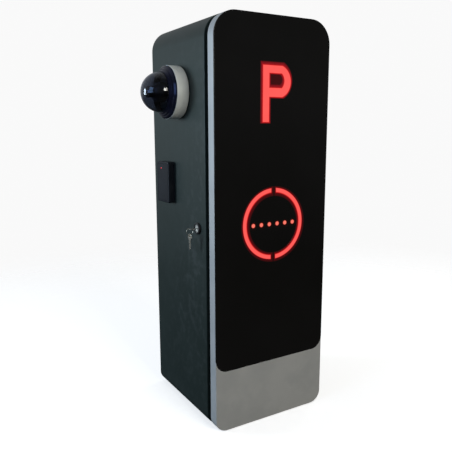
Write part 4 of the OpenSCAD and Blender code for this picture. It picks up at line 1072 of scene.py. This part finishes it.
barrel_section = [(bore, -barrel_in), (barrel_radius - 0.0006, -barrel_in), *thread, (barrel_radius, -0.0045),
                  (barrel_radius, 0.0), (face_edge, 0.0), (face_edge, barrel_out - bevel),
                  (face_edge - bevel, barrel_out), (bore + 0.0005, barrel_out), (bore, barrel_out - 0.0004)]
piece("lock_cylinder", turned(barrel_section, at_lock, steps=64),
      nickel, "cabinet", "lock_chrome", "lock_barrel", sharp=30)
dress("lock_nut", zinc)
tail, cam_in, slot_wide, slot_tall, blade_in = 0.003, 0.0255, 0.0024, 0.008, 0.016
boss, boss_out, plug_out = 0.0082, -barrel_in - 0.0003, barrel_out - 0.0003
plug_profile = [(0.0, -cam_in), (boss, -cam_in), (boss, boss_out), (plug_radius, boss_out),
                (plug_radius, plug_out - 0.0004), (plug_radius - 0.0004, plug_out), (0.0052, plug_out),
                (0.0048, plug_out - 0.0003), (0.0, plug_out - 0.0003)]


def bar(x, y, z, place):
    """A straight-sided bar between two values each way."""
    build = bmesh.new()
    corners = [(x[0], y[0]), (x[1], y[0]), (x[1], y[1]), (x[0], y[1])]
    ends = [[Vector((*corner, level)) for corner in corners] for level in z]
    solid(build, ends)
    return made_from(build, place)


core = turned(plug_profile, at_lock, closed=False, steps=64)
slot = bar((-slot_wide / 2, slot_wide / 2), (-slot_tall / 2, slot_tall / 2),
           (-blade_in - 0.001, barrel_out + 0.0025), at_lock)
core = cut_away(core, slot)
build = bmesh.new()
build.from_mesh(core)
build.from_mesh(bar((-tail, tail), (-tail, tail), (-cam_in - 0.0025, -cam_in - 0.00001), at_lock))
piece("lock_core_plug", made_from(build), nickel, "lock_core", "lock_chrome", "lock_plug")
dress("lock_cam", zinc, 0.0003)
dress("cam_screw", zinc)

# ---------------------------------------------------------------- keys and split ring
# Two flat keys stamped from nickel plated brass, with a milled groove along the blade and cut teeth.
# One is in the lock; a sprung steel ring of two turns joins its bow to the spare, which hangs.
key_thick, blade_wide, bow_radius, bow_hole, end_bar = 0.002, 0.007, 0.009, 0.0037, 0.0024
blade_long, bow_out = 0.0232, 0.024
key_metal = coat("key_nickel", [
    grained((0.50, 0.49, 0.45), (0.62, 0.60, 0.54), 320.0, 0.26, 0.22, 2200.0, 0.00001),
    rubbed((0.60, 0.47, 0.24), 0.7),
], Metallic=1.0)


def stamped(loops, thick, edge, place):
    """A plate stamped to an outline and its holes, its edges rounded over, lying in local XY."""
    shape = bpy.data.curves.new("outline", "CURVE")
    shape.dimensions, shape.fill_mode = "2D", "BOTH"
    shape.extrude, shape.bevel_depth, shape.bevel_resolution, shape.offset = thick / 2 - edge, edge, 1, -edge
    for loop in loops:
        spline = shape.splines.new("POLY")
        spline.points.add(len(loop) - 1)
        for point, corner in zip(spline.points, loop):
            point.co = (corner[0], corner[1], 0.0, 1.0)
        spline.use_cyclic_u = True
    holder = bpy.data.objects.new("outline", shape)
    scene.collection.objects.link(holder)
    bpy.context.view_layer.update()
    flat = bpy.data.meshes.new_from_object(holder.evaluated_get(bpy.context.evaluated_depsgraph_get()))
    bpy.data.objects.remove(holder)
    build = bmesh.new()
    build.from_mesh(flat)
    return made_from(build, place)


def key_mesh(place):
    """A key along local +Z from its tip, flat across local X."""
    teeth = [(0.0035, 0.0020)]
    for k, deep in enumerate((0.0011, 0.0016, 0.0009, 0.0014)):
        z = 0.0032 + 0.003 * k
        teeth += [(0.0035, z), (0.0035 - deep, z + 0.0008), (0.0035 - deep, z + 0.0014), (0.0035, z + 0.0022)]
    centre = blade_long + bow_radius
    neck = math.asin(blade_wide / 2 / bow_radius)
    bow = arc(bow_radius, neck - math.pi / 2, 3 * math.pi / 2 - neck, 48, up=centre)
    outline = [(-0.0012, 0.0), (0.0012, 0.0), *teeth, *bow, (-0.0035, 0.0020)]
    middle = blade_long + 2 * bow_radius - end_bar - bow_hole
    hole = round_line(bow_hole, 32, up=middle)
    stand = Matrix(((0, 0, 1, 0), (1, 0, 0, 0), (0, 1, 0, 0), (0, 0, 0, 1)))
    blank = stamped([outline, hole], key_thick, 0.0002, place @ stand)
    groove_deep, panel_deep, clear, tools = 0.00045, 0.0002, 0.001, []
    for hand in (-1, 1):
        x = sorted(hand * (key_thick / 2 + side) for side in (-groove_deep, clear))
        y = [side + 0.0004 * hand for side in (-0.0020, -0.0006)]
        tools.append(bar(x, y, (-clear, blade_long - 0.001), place))
        x = sorted(hand * (key_thick / 2 + side) for side in (-panel_deep, clear))
        tools.append(bar(x, (-0.0042, 0.0042), (blade_long + 0.0030, blade_long + 0.0068), place))
    return cut_away(blank, *tools)


piece("key_in_lock", key_mesh(at_lock @ Matrix.Translation((0, 0, -blade_in))),
      key_metal, "turned_key", "key_nickel", "key")
spare_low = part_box("spare_key")[0]
piece("spare_hanging_key", key_mesh(Matrix.Translation(
      (-half_width - bow_out, lock_y, spare_low.z))), key_metal, "hanging_key", "key_nickel", "spare_key")
ring_middle = middle_of("split_ring")
wire, coil = 0.00042, 0.0090
build = bmesh.new()
tubes, path_steps = [], 150
cross_from, cross_to, half_pitch = 1.72 * math.pi, 2 * math.pi, 0.00041
for k in range(path_steps + 1):
    a = 4 * math.pi * k / path_steps
    over = min(max((a - cross_from) / (cross_to - cross_from), 0.0), 1.0)
    side_step = half_pitch * (2 * (over * over * (3 - 2 * over)) - 1)
    out = Vector((math.sin(a + 2.6), 0, math.cos(a + 2.6)))
    centre = ring_middle + out * coil + Vector((0, side_step, 0))
    tubes.append([centre + out * wire * math.cos(b) + Vector((0, wire * math.sin(b), 0))
                  for b in [math.pi * j / 5 for j in range(10)]])
solid(build, tubes)
piece("key_split_ring", made_from(build), key_metal, "ring", "key_nickel", "split_ring")

# ---------------------------------------------------------------- lock keeper
# A bent steel hook, zinc plated, is screwed inside the door's folded edge. The lock's cam turns
# behind it and so holds the door shut.
dress("lock_keeper", zinc, 0.0004)
dress("keeper_screws", zinc)

# ---------------------------------------------------------------- chassis and its electronics
# A zinc plated plate stands off the right wall on four posts. It carries a DIN rail with a power
# supply, a breaker and a terminal block, and above them the controller board on brass stand-offs.
module_grey = coat("module_light_grey", [
    grained((0.50, 0.50, 0.48), (0.56, 0.56, 0.53), 40.0, 0.46, 0.1, 2000.0, 0.00002), dusted(0.2, 0.02),
])
terminal_grey = coat("terminal_grey", [
    grained((0.19, 0.20, 0.19), (0.24, 0.25, 0.24), 60.0, 0.50, 0.1, 2000.0, 0.00002), dusted(0.2, 0.02),
])
toggle_blue = coat("toggle_blue", [
    grained((0.012, 0.045, 0.22), (0.018, 0.06, 0.28), 90.0, 0.30, 0.1, 2400.0, 0.00001),
])
satin_aluminium = coat("satin_aluminium", [
    grained((0.52, 0.53, 0.54), (0.62, 0.63, 0.64), 30.0, 0.36, 0.16, 260.0, 0.00001,
            stretch=(1.0, 14.0, 1.0)),
    dusted(0.15, 0.02),
], Metallic=1.0)
kept_as_packed = {
    "chassis_plate": zinc, "chassis_posts": zinc, "chassis_screws": zinc, "din_rail": zinc,
    "power_supply": satin_aluminium, "breaker_body": module_grey, "breaker_toggle": toggle_blue,
    "terminal_block": terminal_grey, "controller_board": circuit, "board_standoffs": brass,
    "board_screws": zinc,
}
for node, material in kept_as_packed.items():
    dress(node, material, 0.0003)
